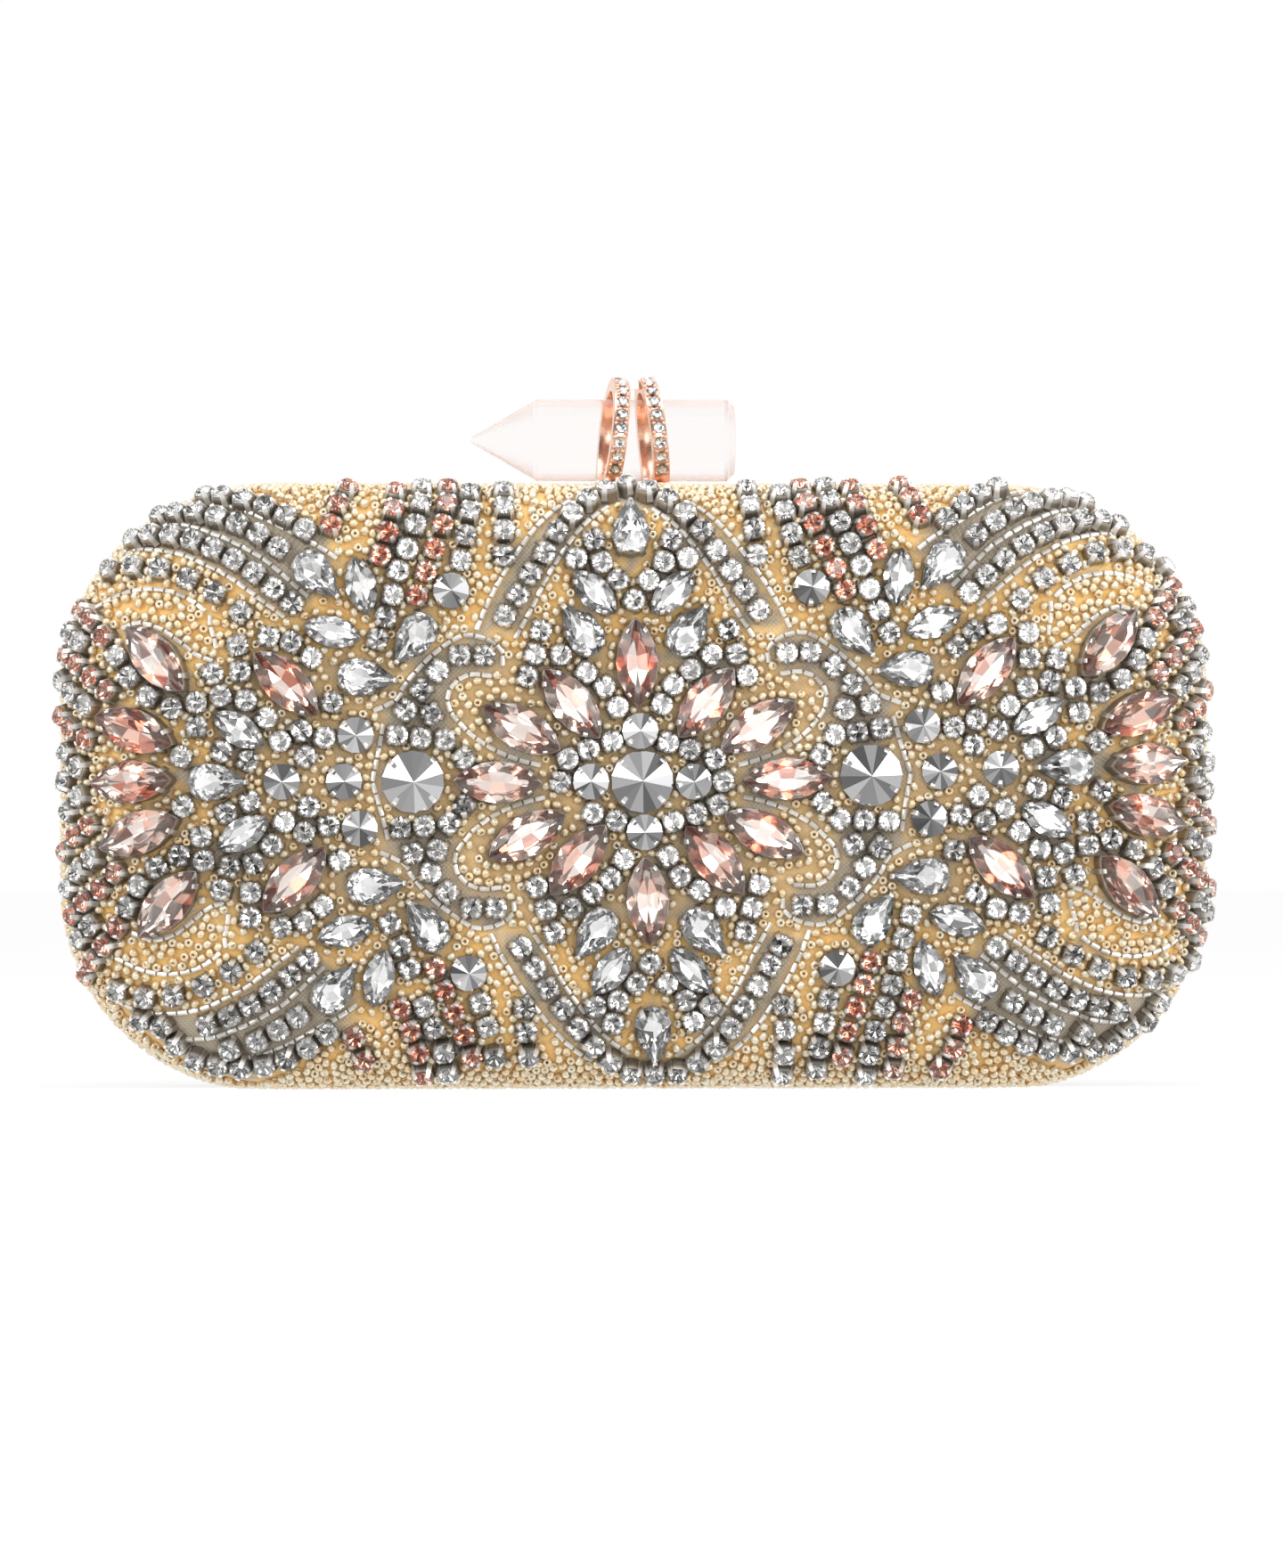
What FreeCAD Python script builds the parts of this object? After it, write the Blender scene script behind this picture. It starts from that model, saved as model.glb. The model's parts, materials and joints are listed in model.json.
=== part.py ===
import FreeCAD, Part
import math
import os

os.makedirs("parts", exist_ok=True)

Vec = FreeCAD.Vector

# the case, measured over the tops of its beads
case_width = 198.0
case_height = 104.0
half_depth = 23.0
corner_radius = 35.0
side_sweep = 28.0
side_roll_start = 4.0
top_sweep = 11.0
top_roll_start = 12.0
sole_trim = 0.2
roll_shares = (0.2, 0.4, 0.56, 0.7, 0.8, 0.88, 0.94, 0.98, 1.0)

# the layers of a half, from the beads inwards
cover_thickness = 2.2
shell_thickness = 2.0
lining_thickness = 0.6
glue_line = 0.15

# the metal rim of each half
rim_gap = 0.15
rim_thickness = 2.6
rim_recess = 0.6
rim_width = 4.5

# hinge along the bottom
hinge_rise = 2.2
hinge_offset = 55.0
knuckle_length = 6.0
knuckle_radius = 1.6
knuckle_gap = 0.1
hinge_bore_radius = 0.8
hinge_pin_radius = 0.75
pin_head_length = 0.5
pin_reach_share = 1.5
notch_seat = 0.02
notch_clearance = 0.3
open_angle = 90.0
bevel_margin_angle = 1.0
full_turn = 360.0

# clasp ring with its crystal
ring_inner_radius = 7.9
ring_thickness = 2.2
band_width = 2.7
band_offset = 3.4
band_tilt = 6.6
band_turn = 4.0
ring_y = 4.6
ring_rise = 8.9
bridge_height = 1.4
crystal_radius = 7.1
crystal_gap = 0.3
crystal_left = 28.0
crystal_right = 17.6
crystal_point_length = 11.4
crystal_tip_radius = 0.5
crystal_end_round = 1.2
pave_radius = 1.0
pave_pitch = 2.37
pave_height = 0.45
pave_seat = 0.02
pave_table_share = 0.6
foot_height = 0.82
foot_gap = 0.08
foot_half_length = 6.6
foot_depth = 7.6
foot_round = 0.4
upright_share = 0.9
lift_travel = 2.0

# what holds the clasp
post_radius = 1.2
post_offset = 4.6
post_setback = 6.2
bushing_wall = 0.8
bushing_fit = 0.05
bushing_flange = 0.7
bushing_flange_height = 0.6
hole_clearance = 0.03
yoke_drop = 7.4
yoke_height = 1.2
yoke_depth = 2.0
yoke_overhang = 1.6
screw_radius = 0.6
screw_reach = 2.0
screw_head_radius = 1.05
screw_head_height = 0.6
screw_fit = 0.02

# catch leaf, its block and the keeper
leaf_gap = 0.1
leaf_thickness = 0.4
leaf_half_width = 2.0
leaf_front = 3.2
nose_depth = 0.4
nose_drop = 2.1
block_front = 9.4
block_depth = 4.0
block_half_width = 3.0
block_gap = 0.2
block_roll_clearance = 0.05
rivet_radius = 0.6
rivet_head_radius = 1.0
rivet_head_height = 0.4
rivet_reach = 1.5
rivet_offset = 1.05
keeper_plate_depth = 7.8
keeper_plate_thickness = 0.9
keeper_plate_half_width = 5.0
keeper_plate_gap = 0.15
keeper_front = 5.2
keeper_wall = 0.8
tab_drop = 7.9
tab_thickness = 1.0
tab_half_width = 3.4
tab_reach = 4.9
window_half_width = 2.2
window_front = 2.4
window_depth = 1.6
keeper_rivet_offset = 3.5
keeper_rivet_setback = 9.3
lining_cutout_margin = 1.6

# stones
seat_gap = 0.12
stone_gap = 0.06
rim_margin = 2.0
pattern_rise = 1.0
edge_margin = 0.45
navette_length = 15.0
navette_width = 7.0
navette_height = 2.8
small_navette_length = 10.0
small_navette_width = 5.2
small_navette_height = 2.2
pear_length = 10.2
pear_width = 6.4
pear_height = 2.6
rivoli_diameter = 10.7
rivoli_height = 3.3
small_rivoli_diameter = 6.2
small_rivoli_height = 2.5
chaton_diameter = 3.9
chaton_height = 1.9
chaton_pitch = 4.05
wide_pitch = 5.3
walk_step = 0.2
round_sides = 12
chaton_sides = 8
arc_steps = 6
pear_steps = 14
search_steps = 40
nudge_step = 0.3
nudge_rings = 3
nudge_sides = 8

# the cuts: shares of the length, width and height of a stone
base_share = 0.86
girdle_share = 0.36
table_share = 0.42
rivoli_table_share = 0.12
chaton_table_share = 0.62
pear_swell_share = 0.77
disc_shares = (-0.9, -0.6, -0.3, 0, 0.3, 0.6, 0.9)
steepest_share = 0.9999

overrun = 1.0

# where the stones sit: shares of the half width and of the half height of the pattern
lean_share = 0.045
right_turn_share = 0.035
navette_quarter_shares = ((0.117, 0.266, 51), (0.205, 0.184, 29), (0.608, 0.334, 46),
                          (0.824, 0.416, 47), (0.866, 0.176, 17))
navette_upright_shares = ((0, 0.408, 90),)
navette_level_shares = ((0.25, 0, 0), (0.874, 0, 0))
small_navette_quarter_shares = ((0.068, 0.646, 48), (0.47, 0.67, 77), (0.524, 0.51, 18), (0.693, 0.178, 33))
pear_quarter_shares = ((0.096, 0.522, 53), (0.544, 0.7, 229), (0.386, 0.486, -54), (0.467, 0.354, 184))
pear_upright_shares = ((0, 0.866, 90),)
pear_level_shares = ((0.731, 0, 180),)
rivoli_level_shares = ((0.396, 0, 0),)
small_rivoli_quarter_shares = ((0.491, 0.16, 0), (0.315, 0.652, 0))
small_rivoli_upright_shares = ((0, 0.173, 0),)
small_rivoli_level_shares = ((0.089, 0, 0), (0.515, 0, 0), (0.622, 0, 0))

rosette_chaton_shares = ((0.164, 0.516), (0.176, 0.436), (0.131, 0.432), (0.191, 0.358), (0.095, 0.386),
                         (0.064, 0.336), (0.042, 0.264), (0.0495, 0.138), (0.0884, 0.114), (0.1253, 0.079),
                         (0.097, 0.764), (0.059, 0.742), (0.026, 0.69), (0.067, 0.822))
rosette_axis_shares = ((0, 0.62),)
rosette_level_shares = ((0.141, 0),)
top_apex_shares = ((0, 1.008),)
bottom_apex_shares = ((0, 0.994),)
ogee_row_shares = ((0.015, 1.0), (0.035, 0.992), (0.066, 0.968), (0.092, 0.926), (0.121, 0.872), (0.142, 0.81),
                   (0.164, 0.748), (0.188, 0.676), (0.21, 0.606), (0.235, 0.532))
bracket_chaton_shares = ((0.263, 0.432), (0.305, 0.432), (0.345, 0.378), (0.374, 0.312), (0.403, 0.244),
                         (0.358, 0.232), (0.42, 0.158), (0.379, 0.15), (0.337, 0.144), (0.309, 0.078))
chevron_clear_row_shares = (((0.222, 0.772), (0.219, 0.89), (0.212, 1.05)),
                            ((0.297, 0.756), (0.279, 0.888), (0.266, 1.05)),
                            ((0.446, 0.484), (0.43, 0.56), (0.418, 0.63), (0.405, 0.72), (0.383, 0.818),
                             (0.361, 0.926), (0.351, 1.05)))
chevron_peach_row_shares = (((0.374, 0.632), (0.357, 0.72), (0.336, 0.82), (0.318, 0.906), (0.306, 1.05)),
                            ((0.435, 0.772), (0.418, 0.856), (0.404, 0.946), (0.395, 1.05)),
                            ((0.517, 0.872), (0.504, 0.94), (0.483, 1.0), (0.455, 1.05)))
stripe_row_shares = (((0.562, 0.858), (0.596, 0.905), (0.631, 0.94), (0.672, 0.965), (0.717, 0.975),
                      (0.755, 0.965), (0.795, 0.944)),
                     ((0.598, 0.78), (0.63, 0.826), (0.664, 0.866), (0.702, 0.898), (0.742, 0.916),
                      (0.788, 0.916), (0.85, 0.88)),
                     ((0.59, 0.608), (0.62, 0.656), (0.648, 0.704), (0.681, 0.75), (0.715, 0.786),
                      (0.751, 0.818), (0.788, 0.838), (0.828, 0.842), (0.895, 0.805)))
wide_stripe_row_shares = ((0.679, 0.578), (0.724, 0.648), (0.766, 0.69), (0.818, 0.728), (0.867, 0.736),
                          (0.915, 0.715), (0.947, 0.668))
side_chaton_shares = ((0.687, 0.464), (0.634, 0.496), (0.594, 0.476), (0.562, 0.424), (0.539, 0.352),
                      (0.529, 0.27), (0.685, 0.376), (0.733, 0.37), (0.677, 0.278), (0.719, 0.292),
                      (0.761, 0.27), (0.644, 0.216), (0.803, 0.252), (0.842, 0.292), (0.873, 0.356),
                      (0.893, 0.426), (0.764, 0.186), (0.72, 0.104), (0.679, 0.068), (0.792, 0.084),
                      (0.622, 0.136), (0.586, 0.174), (0.545, 0.15), (0.578, 0.086))
side_clear_row_shares = (((0.928, 0.428), (0.951, 0.476), (0.97, 0.516), (0.985, 0.56)),
                         ((0.948, 0.262), (0.972, 0.305), (0.992, 0.37)),
                         ((0.965, 0.05), (0.985, 0.1), (0.995, 0.16)))
side_peach_row_shares = (((0.911, 0.31), (0.941, 0.37), (0.97, 0.42), (0.992, 0.472)),
                         ((0.913, 0.496), (0.94, 0.57), (0.957, 0.612), (0.968, 0.66)),
                         ((0.95, 0.146), (0.978, 0.19), (0.996, 0.25)))
side_axis_shares = ((0.988, 0),)

half_width = case_width / 2
half_height = case_height / 2
mid_z = half_height - sole_trim
top_z = case_height - sole_trim
pattern_half_height = half_height - rim_margin
front_reach = seat_gap + rivoli_height
parting_y = front_reach / 2
layer_start = rim_gap + rim_thickness + glue_line
shell_inset = cover_thickness + glue_line
lining_inset = shell_inset + shell_thickness + glue_line
room_inset = lining_inset + lining_thickness
shell_ceiling = top_z - shell_inset - shell_thickness
ring_outer_radius = ring_inner_radius + ring_thickness
ring_z = top_z + ring_rise
foot_top = top_z + foot_gap + foot_height
crystal_z = foot_top + crystal_gap + crystal_radius


def rolled(half, sweep, start, inset, y):
    """Half extent of the rounded outline at depth y, set in by inset."""
    if y <= start:
        return half - inset
    share = min((y - start) / (half_depth - inset - start), 1)
    return half - sweep + (sweep - inset) * math.sqrt(1 - share * share)


def outline(half_w, half_h, radius, y):
    """Closed rounded rectangle in the plane at depth y."""
    core_w = half_w - radius
    core_h = half_h - radius
    bend = radius / math.sqrt(2)
    edges = []
    corners = ((1, -1), (1, 1), (-1, 1), (-1, -1))
    for number, (sx, sz) in enumerate(corners):
        low = Vec(sx * core_w, y, sz * half_h)
        side = Vec(sx * half_w, y, sz * core_h)
        middle = Vec(sx * (core_w + bend), y, sz * (core_h + bend))
        first, last = (low, side) if number % 2 == 0 else (side, low)
        edges.append(Part.Arc(first, middle, last).toShape())
        next_x, next_z = corners[(number + 1) % len(corners)]
        if number % 2 == 0:
            following = Vec(next_x * half_w, y, next_z * core_h)
        else:
            following = Vec(next_x * core_w, y, next_z * half_h)
        edges.append(Part.makeLine(last, following))
    return Part.Wire(edges)


def half_body(inset, start):
    """Solid half of the case behind the rim, set in all over by inset, facing +Y."""
    roll = half_depth - inset - side_roll_start
    depths = [start, side_roll_start]
    for share in roll_shares:
        depths.append(side_roll_start + share * roll)
    wires = []
    for y in depths:
        half_w = rolled(half_width, side_sweep, side_roll_start, inset, y)
        half_h = rolled(half_height, top_sweep, top_roll_start, inset, y)
        wires.append(outline(half_w, half_h, corner_radius - inset, y))
    return Part.makeLoft(wires, True, False)


def layer(outer_inset, inner_inset):
    """One open shell of the half between two insets."""
    outer = half_body(outer_inset, layer_start)
    inner = half_body(inner_inset, layer_start - overrun)
    return outer.cut(inner)


def box(x0, x1, y0, y1, z0, z1):
    return Part.makeBox(x1 - x0, y1 - y0, z1 - z0, Vec(x0, y0, z0))


def rod_x(radius, x0, x1, y, z):
    return Part.makeCylinder(radius, x1 - x0, Vec(x0, y, z), Vec(1, 0, 0))


def rod_z(radius, x, y, z0, z1):
    return Part.makeCylinder(radius, z1 - z0, Vec(x, y, z0), Vec(0, 0, 1))


def to_front(shape):
    return shape.mirror(Vec(0, 0, 0), Vec(0, 1, 0))


def export(name, shape):
    shape.translate(Vec(0, parting_y, 0))
    shape.exportStep("parts/" + name + ".step")


def lifted(shape):
    shape.translate(Vec(0, 0, mid_z))
    return shape


# hinge knuckles, outer pair on the front half, middle one on the back half
hinge_z = hinge_rise
front_knuckles = []
back_knuckles = []
pins = []
front_notches = []
back_notches = []
for side in (-1, 1):
    for place in (-1, 0, 1):
        middle = side * hinge_offset + place * knuckle_length
        x0 = middle - (knuckle_length - knuckle_gap) / 2
        x1 = middle + (knuckle_length - knuckle_gap) / 2
        barrel = rod_x(knuckle_radius, x0, x1, 0, hinge_z)
        barrel = barrel.cut(rod_x(hinge_bore_radius, x0 - overrun, x1 + overrun, 0, hinge_z))
        snug = rod_x(knuckle_radius + notch_seat, x0 - knuckle_gap, x1 + knuckle_gap, 0, hinge_z)
        loose = rod_x(knuckle_radius + notch_clearance, x0 - knuckle_gap, x1 + knuckle_gap, 0, hinge_z)
        if place == 0:
            back_knuckles.append(barrel)
            back_notches.append(snug)
            front_notches.append(loose)
        else:
            front_knuckles.append(barrel)
            front_notches.append(snug)
            back_notches.append(loose)
    reach = pin_reach_share * knuckle_length
    pin = rod_x(hinge_pin_radius, side * hinge_offset - reach, side * hinge_offset + reach, 0, hinge_z)
    for end in (-1, 1):
        tip = side * hinge_offset + end * reach
        head = rod_x(knuckle_radius, min(tip, tip + end * pin_head_length), max(tip, tip + end * pin_head_length),
                     0, hinge_z)
        pin = pin.fuse(head)
        room = rod_x(knuckle_radius + notch_clearance, min(tip, tip + end * pin_head_length) - knuckle_gap,
                     max(tip, tip + end * pin_head_length) + knuckle_gap, 0, hinge_z)
        front_notches.append(room)
        back_notches.append(room)
    pins.append(pin.removeSplitter())
export("front_hinge_knuckles", Part.makeCompound(front_knuckles))
export("back_hinge_knuckles", Part.makeCompound(back_knuckles))
export("hinge_pins", Part.makeCompound(pins))

# rims, bevelled under the hinge so that they meet when the case is fully open
rim_outer = Part.Face(outline(half_width - rim_recess, half_height - rim_recess, corner_radius - rim_recess,
                              rim_gap))
rim_inset = rim_recess + rim_width
rim_inner = Part.Face(outline(half_width - rim_inset, half_height - rim_inset, corner_radius - rim_inset,
                              rim_gap - overrun))
rim = rim_outer.extrude(Vec(0, rim_thickness, 0))
rim = lifted(rim.cut(rim_inner.extrude(Vec(0, rim_thickness + 2 * overrun, 0))))
bevel_run = (hinge_rise + overrun) * math.tan(math.radians(open_angle / 2 + bevel_margin_angle))
bevel_wire = Part.makePolygon([Vec(-half_width, 0, hinge_z), Vec(-half_width, 0, -overrun),
                               Vec(-half_width, bevel_run, -overrun), Vec(-half_width, 0, hinge_z)])
bevel = Part.Face(bevel_wire).extrude(Vec(case_width, 0, 0))
rim = rim.cut(bevel)
export("back_rim", rim.cut(Part.makeCompound(back_notches)))
export("front_rim", to_front(rim).cut(Part.makeCompound(front_notches)))

# layers of the two halves
below_floor = box(-case_width, case_width, -case_height, case_height, -case_height, 0)
cover = lifted(layer(0, cover_thickness)).cut(below_floor)
shell = lifted(layer(shell_inset, shell_inset + shell_thickness))
lining = lifted(layer(lining_inset, room_inset))

bushing_radius = post_radius + bushing_fit + bushing_wall
post_holes = []
for side in (-1, 1):
    post_holes.append(rod_z(bushing_radius + hole_clearance, side * post_offset, post_setback,
                            shell_ceiling - case_height / 2, top_z + overrun))
post_holes = Part.makeCompound(post_holes)
keeper_holes = []
keeper_rivets = []
plate_top = shell_ceiling - keeper_plate_gap
plate_bottom = plate_top - keeper_plate_thickness
rivet_top = shell_ceiling + shell_thickness / 2
for side in (-1, 1):
    x = side * keeper_rivet_offset
    shank = rod_z(rivet_radius, x, -keeper_rivet_setback, plate_bottom, rivet_top)
    head = rod_z(rivet_head_radius, x, -keeper_rivet_setback, plate_bottom - rivet_head_height, plate_bottom)
    keeper_rivets.append(shank.fuse(head).removeSplitter())
    keeper_holes.append(rod_z(rivet_radius + screw_fit, x, -keeper_rivet_setback, plate_bottom - overrun,
                              rivet_top + screw_fit))
keeper_holes = Part.makeCompound(keeper_holes)

block_back = block_front + block_depth
catch_room = box(-post_offset - bushing_radius - bushing_flange - lining_cutout_margin,
                 post_offset + bushing_radius + bushing_flange + lining_cutout_margin,
                 0, block_back + lining_cutout_margin, mid_z + half_height / 2, top_z)
keeper_room = box(-keeper_plate_half_width - lining_cutout_margin, keeper_plate_half_width + lining_cutout_margin,
                  -keeper_front - keeper_plate_depth - lining_cutout_margin, 0, mid_z + half_height / 2, top_z)
export("back_cover", cover.cut(post_holes))
export("front_cover", to_front(cover))
export("back_shell", shell.cut(post_holes))
export("front_shell", to_front(shell).cut(keeper_holes))
export("back_lining", lining.cut(catch_room))
export("front_lining", to_front(lining).cut(keeper_room))

# clasp: two bands leaning together over the crystal, on a foot with two posts


def band_placement(side):
    """Where a band stands: leaning to the other one and turned a little."""
    lean = FreeCAD.Rotation(Vec(0, 1, 0), -side * band_tilt)
    turn = FreeCAD.Rotation(Vec(0, 0, 1), band_turn)
    return FreeCAD.Placement(Vec(side * band_offset, ring_y, ring_z), turn.multiply(lean))


hoops = []
for side in (-1, 1):
    hoop = rod_x(ring_outer_radius, -band_width / 2, band_width / 2, 0, 0)
    hoop = hoop.cut(rod_x(ring_inner_radius, -band_width, band_width, 0, 0))
    hoop.Placement = band_placement(side).multiply(hoop.Placement)
    hoops.append(hoop)
ring = hoops[0].fuse(hoops[1])
bridge_top = ring_z + ring_outer_radius - overrun / 2
bridge = box(-band_width / 2, band_width / 2, ring_y - band_width / 2, ring_y + band_width / 2,
             bridge_top - bridge_height, bridge_top)
ring = ring.fuse(bridge)
under_ring = box(-case_width, case_width, -case_height, case_height, 0, foot_top)
ring = ring.cut(under_ring).removeSplitter()
export("clasp_ring", ring)

foot_front = ring_y - foot_depth / 2
foot_bottom = top_z + foot_gap
foot = box(-foot_half_length, foot_half_length, foot_front, foot_front + foot_depth, foot_bottom, foot_top)
upright_edges = [edge for edge in foot.Edges
                 if abs(edge.tangentAt(edge.FirstParameter).z) > upright_share]
foot = foot.makeFillet(foot_round, upright_edges)
export("clasp_foot", foot)

yoke_top = top_z - yoke_drop
yoke_bottom = yoke_top - yoke_height
posts = []
bushings = []
screws = []
screw_rooms = []
for side in (-1, 1):
    x = side * post_offset
    post = rod_z(post_radius, x, post_setback, yoke_top, foot_bottom)
    posts.append(post.cut(rod_z(screw_radius + screw_fit, x, post_setback, yoke_top - overrun,
                                yoke_top + screw_reach + screw_fit)))
    sleeve = rod_z(bushing_radius, x, post_setback, shell_ceiling, top_z - foot_gap)
    flange = rod_z(bushing_radius + bushing_flange, x, post_setback, shell_ceiling - bushing_flange_height
                   - hole_clearance, shell_ceiling - hole_clearance)
    sleeve = sleeve.fuse(rod_z(bushing_radius, x, post_setback, shell_ceiling - bushing_flange_height,
                               shell_ceiling)).fuse(flange)
    bushings.append(sleeve.cut(rod_z(post_radius + bushing_fit, x, post_setback, yoke_top,
                                     top_z + overrun)).removeSplitter())
    shank = rod_z(screw_radius, x, post_setback, yoke_bottom, yoke_top + screw_reach)
    head = rod_z(screw_head_radius, x, post_setback, yoke_bottom - screw_head_height, yoke_bottom)
    screws.append(shank.fuse(head).removeSplitter())
    screw_rooms.append(rod_z(screw_radius + screw_fit, x, post_setback, yoke_bottom - overrun,
                             yoke_top + overrun))
export("clasp_posts", Part.makeCompound(posts))
export("post_bushings", Part.makeCompound(bushings))
export("yoke_screws", Part.makeCompound(screws))
yoke_reach = post_offset + yoke_overhang
yoke = box(-yoke_reach, yoke_reach, post_setback - yoke_depth / 2, post_setback + yoke_depth / 2,
           yoke_bottom, yoke_top)
export("lift_yoke", yoke.cut(Part.makeCompound(screw_rooms)))

body_left = -crystal_left + crystal_point_length
crystal_profile = [Vec(-crystal_left, 0, 0), Vec(-crystal_left, 0, crystal_tip_radius),
                   Vec(body_left, 0, crystal_radius), Vec(crystal_right - crystal_end_round, 0, crystal_radius),
                   Vec(crystal_right, 0, crystal_radius - crystal_end_round), Vec(crystal_right, 0, 0),
                   Vec(-crystal_left, 0, 0)]
crystal = Part.Face(Part.makePolygon(crystal_profile)).revolve(Vec(0, 0, 0), Vec(1, 0, 0), full_turn)
crystal.translate(Vec(0, ring_y, crystal_z))
export("crystal_point", crystal)

# catch leaf hooked into the keeper of the front half
leaf_bottom = yoke_top + leaf_gap
leaf_top = leaf_bottom + leaf_thickness
leaf = box(-leaf_half_width, leaf_half_width, leaf_front, block_back, leaf_bottom, leaf_top)
nose = box(-leaf_half_width, leaf_half_width, leaf_front, leaf_front + nose_depth, leaf_bottom - nose_drop,
           leaf_top)
leaf = leaf.fuse(nose)
block_roof = mid_z + rolled(half_height, top_sweep, top_roll_start, shell_inset + shell_thickness, block_back)
block_top = min(shell_ceiling - block_gap, block_roof - block_roll_clearance)
block = box(-block_half_width, block_half_width, block_front, block_back, leaf_top, block_top)
leaf_rivets = []
rivet_rooms = []
for side in (-1, 1):
    x = side * rivet_offset
    y = block_front + block_depth / 2
    shank = rod_z(rivet_radius, x, y, leaf_bottom, leaf_top + rivet_reach)
    head = rod_z(rivet_head_radius, x, y, leaf_bottom - rivet_head_height, leaf_bottom)
    leaf_rivets.append(shank.fuse(head).removeSplitter())
    rivet_rooms.append(rod_z(rivet_radius + screw_fit, x, y, leaf_bottom - overrun,
                             leaf_top + rivet_reach + screw_fit))
rivet_rooms = Part.makeCompound(rivet_rooms)
export("catch_spring", leaf.cut(rivet_rooms).removeSplitter())
export("spring_block", block.cut(rivet_rooms))
export("catch_rivets", Part.makeCompound(leaf_rivets))

tab_top = top_z - tab_drop
tab_bottom = tab_top - tab_thickness
plate = box(-keeper_plate_half_width, keeper_plate_half_width, -keeper_front - keeper_plate_depth, -keeper_front,
            plate_bottom, plate_top)
leg = box(-tab_half_width, tab_half_width, -keeper_front - keeper_wall, -keeper_front, tab_bottom, plate_top)
tab = box(-tab_half_width, tab_half_width, -keeper_front - keeper_wall, tab_reach, tab_bottom, tab_top)
window = box(-window_half_width, window_half_width, window_front, window_front + window_depth,
             tab_bottom - overrun, tab_top + overrun)
keeper = plate.fuse(leg).fuse(tab).cut(window)
export("keeper", keeper.cut(keeper_holes).removeSplitter())
export("keeper_rivets", Part.makeCompound(keeper_rivets))


def faceted(points, levels):
    """Stone with flat facets: one outline drawn at several heights, each at its own share of the girdle."""
    rings = []
    for height, share in levels:
        rings.append([Vec(x * share, y * share, height) for x, y in points])
    faces = [Part.Face(Part.makePolygon(rings[0] + rings[0][:1]))]
    faces.append(Part.Face(Part.makePolygon(rings[-1] + rings[-1][:1])))
    count = len(points)
    for lower, upper in zip(rings, rings[1:]):
        for i in range(count):
            j = (i + 1) % count
            faces.append(Part.Face(Part.makePolygon([lower[i], lower[j], upper[j], upper[i], lower[i]])))
    solid = Part.Solid(Part.Shell(faces))
    if solid.Volume < 0:
        solid.reverse()
    return solid


def navette_half_share(share):
    return 1 - share * share


def pear_half_share(share):
    turn = math.acos(max(-1, min(1, share)))
    return math.sin(turn) * math.sin(turn / 2) / pear_swell_share


def navette_points(length, width):
    points = []
    for i in range(-arc_steps // 2, arc_steps // 2 + 1):
        share = 2 * i / arc_steps
        points.append((share * length / 2, -navette_half_share(share) * width / 2))
    for i in range(arc_steps // 2 - 1, -arc_steps // 2, -1):
        share = 2 * i / arc_steps
        points.append((share * length / 2, navette_half_share(share) * width / 2))
    return points


def pear_points(length, width):
    points = []
    for i in range(pear_steps):
        turn = 2 * math.pi * i / pear_steps
        share = math.cos(turn)
        side = 1 if turn < math.pi else -1
        points.append((share * length / 2, side * pear_half_share(share) * width / 2))
    return points


def round_points(diameter, sides):
    points = []
    for i in range(sides):
        turn = 2 * math.pi * (i + 0.5) / sides
        points.append((diameter / 2 * math.cos(turn), diameter / 2 * math.sin(turn)))
    return points


def girdle_levels(height, top_share):
    return ((0, base_share), (height * girdle_share, 1), (height, top_share))


class Cut:
    """One shape of stone, with the discs that it covers on the cloth."""

    def __init__(self, points, levels, length, width, half_share):
        self.solid = faceted(points, levels)
        self.height = levels[-1][0] + seat_gap
        self.discs = []
        if half_share is None:
            self.discs.append((0, width / 2))
        else:
            for share in disc_shares:
                self.discs.append((share * length / 2, half_share(share) * width / 2))


big_navette = Cut(navette_points(navette_length, navette_width), girdle_levels(navette_height, table_share),
                  navette_length, navette_width, navette_half_share)
small_navette = Cut(navette_points(small_navette_length, small_navette_width),
                    girdle_levels(small_navette_height, table_share), small_navette_length, small_navette_width,
                    navette_half_share)
pear = Cut(pear_points(pear_length, pear_width), girdle_levels(pear_height, table_share), pear_length,
           pear_width, pear_half_share)
rivoli = Cut(round_points(rivoli_diameter, round_sides), girdle_levels(rivoli_height, rivoli_table_share),
             rivoli_diameter, rivoli_diameter, None)
small_rivoli = Cut(round_points(small_rivoli_diameter, round_sides),
                   girdle_levels(small_rivoli_height, rivoli_table_share), small_rivoli_diameter,
                   small_rivoli_diameter, None)
chaton = Cut(round_points(chaton_diameter, chaton_sides), ((0, 1), (chaton_height, chaton_table_share)),
             chaton_diameter, chaton_diameter, None)


def roll_slope(half, sweep, start, y):
    """How fast the half extent shrinks with depth."""
    if y <= start:
        return 0
    span = half_depth - start
    share = min((y - start) / span, steepest_share)
    return -sweep * share / math.sqrt(1 - share * share) / span


def outside(x, z, y):
    """How far a point is outside the outline at depth y; also the outward direction in the plane."""
    over_x = abs(x) - rolled(half_width, side_sweep, side_roll_start, 0, y) + corner_radius
    over_z = abs(z) - rolled(half_height, top_sweep, top_roll_start, 0, y) + corner_radius
    if over_x > 0 and over_z > 0:
        reach = math.hypot(over_x, over_z)
        return reach - corner_radius, over_x / reach, over_z / reach
    if over_x > over_z:
        return over_x - corner_radius, 1, 0
    return over_z - corner_radius, 0, 1


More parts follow.
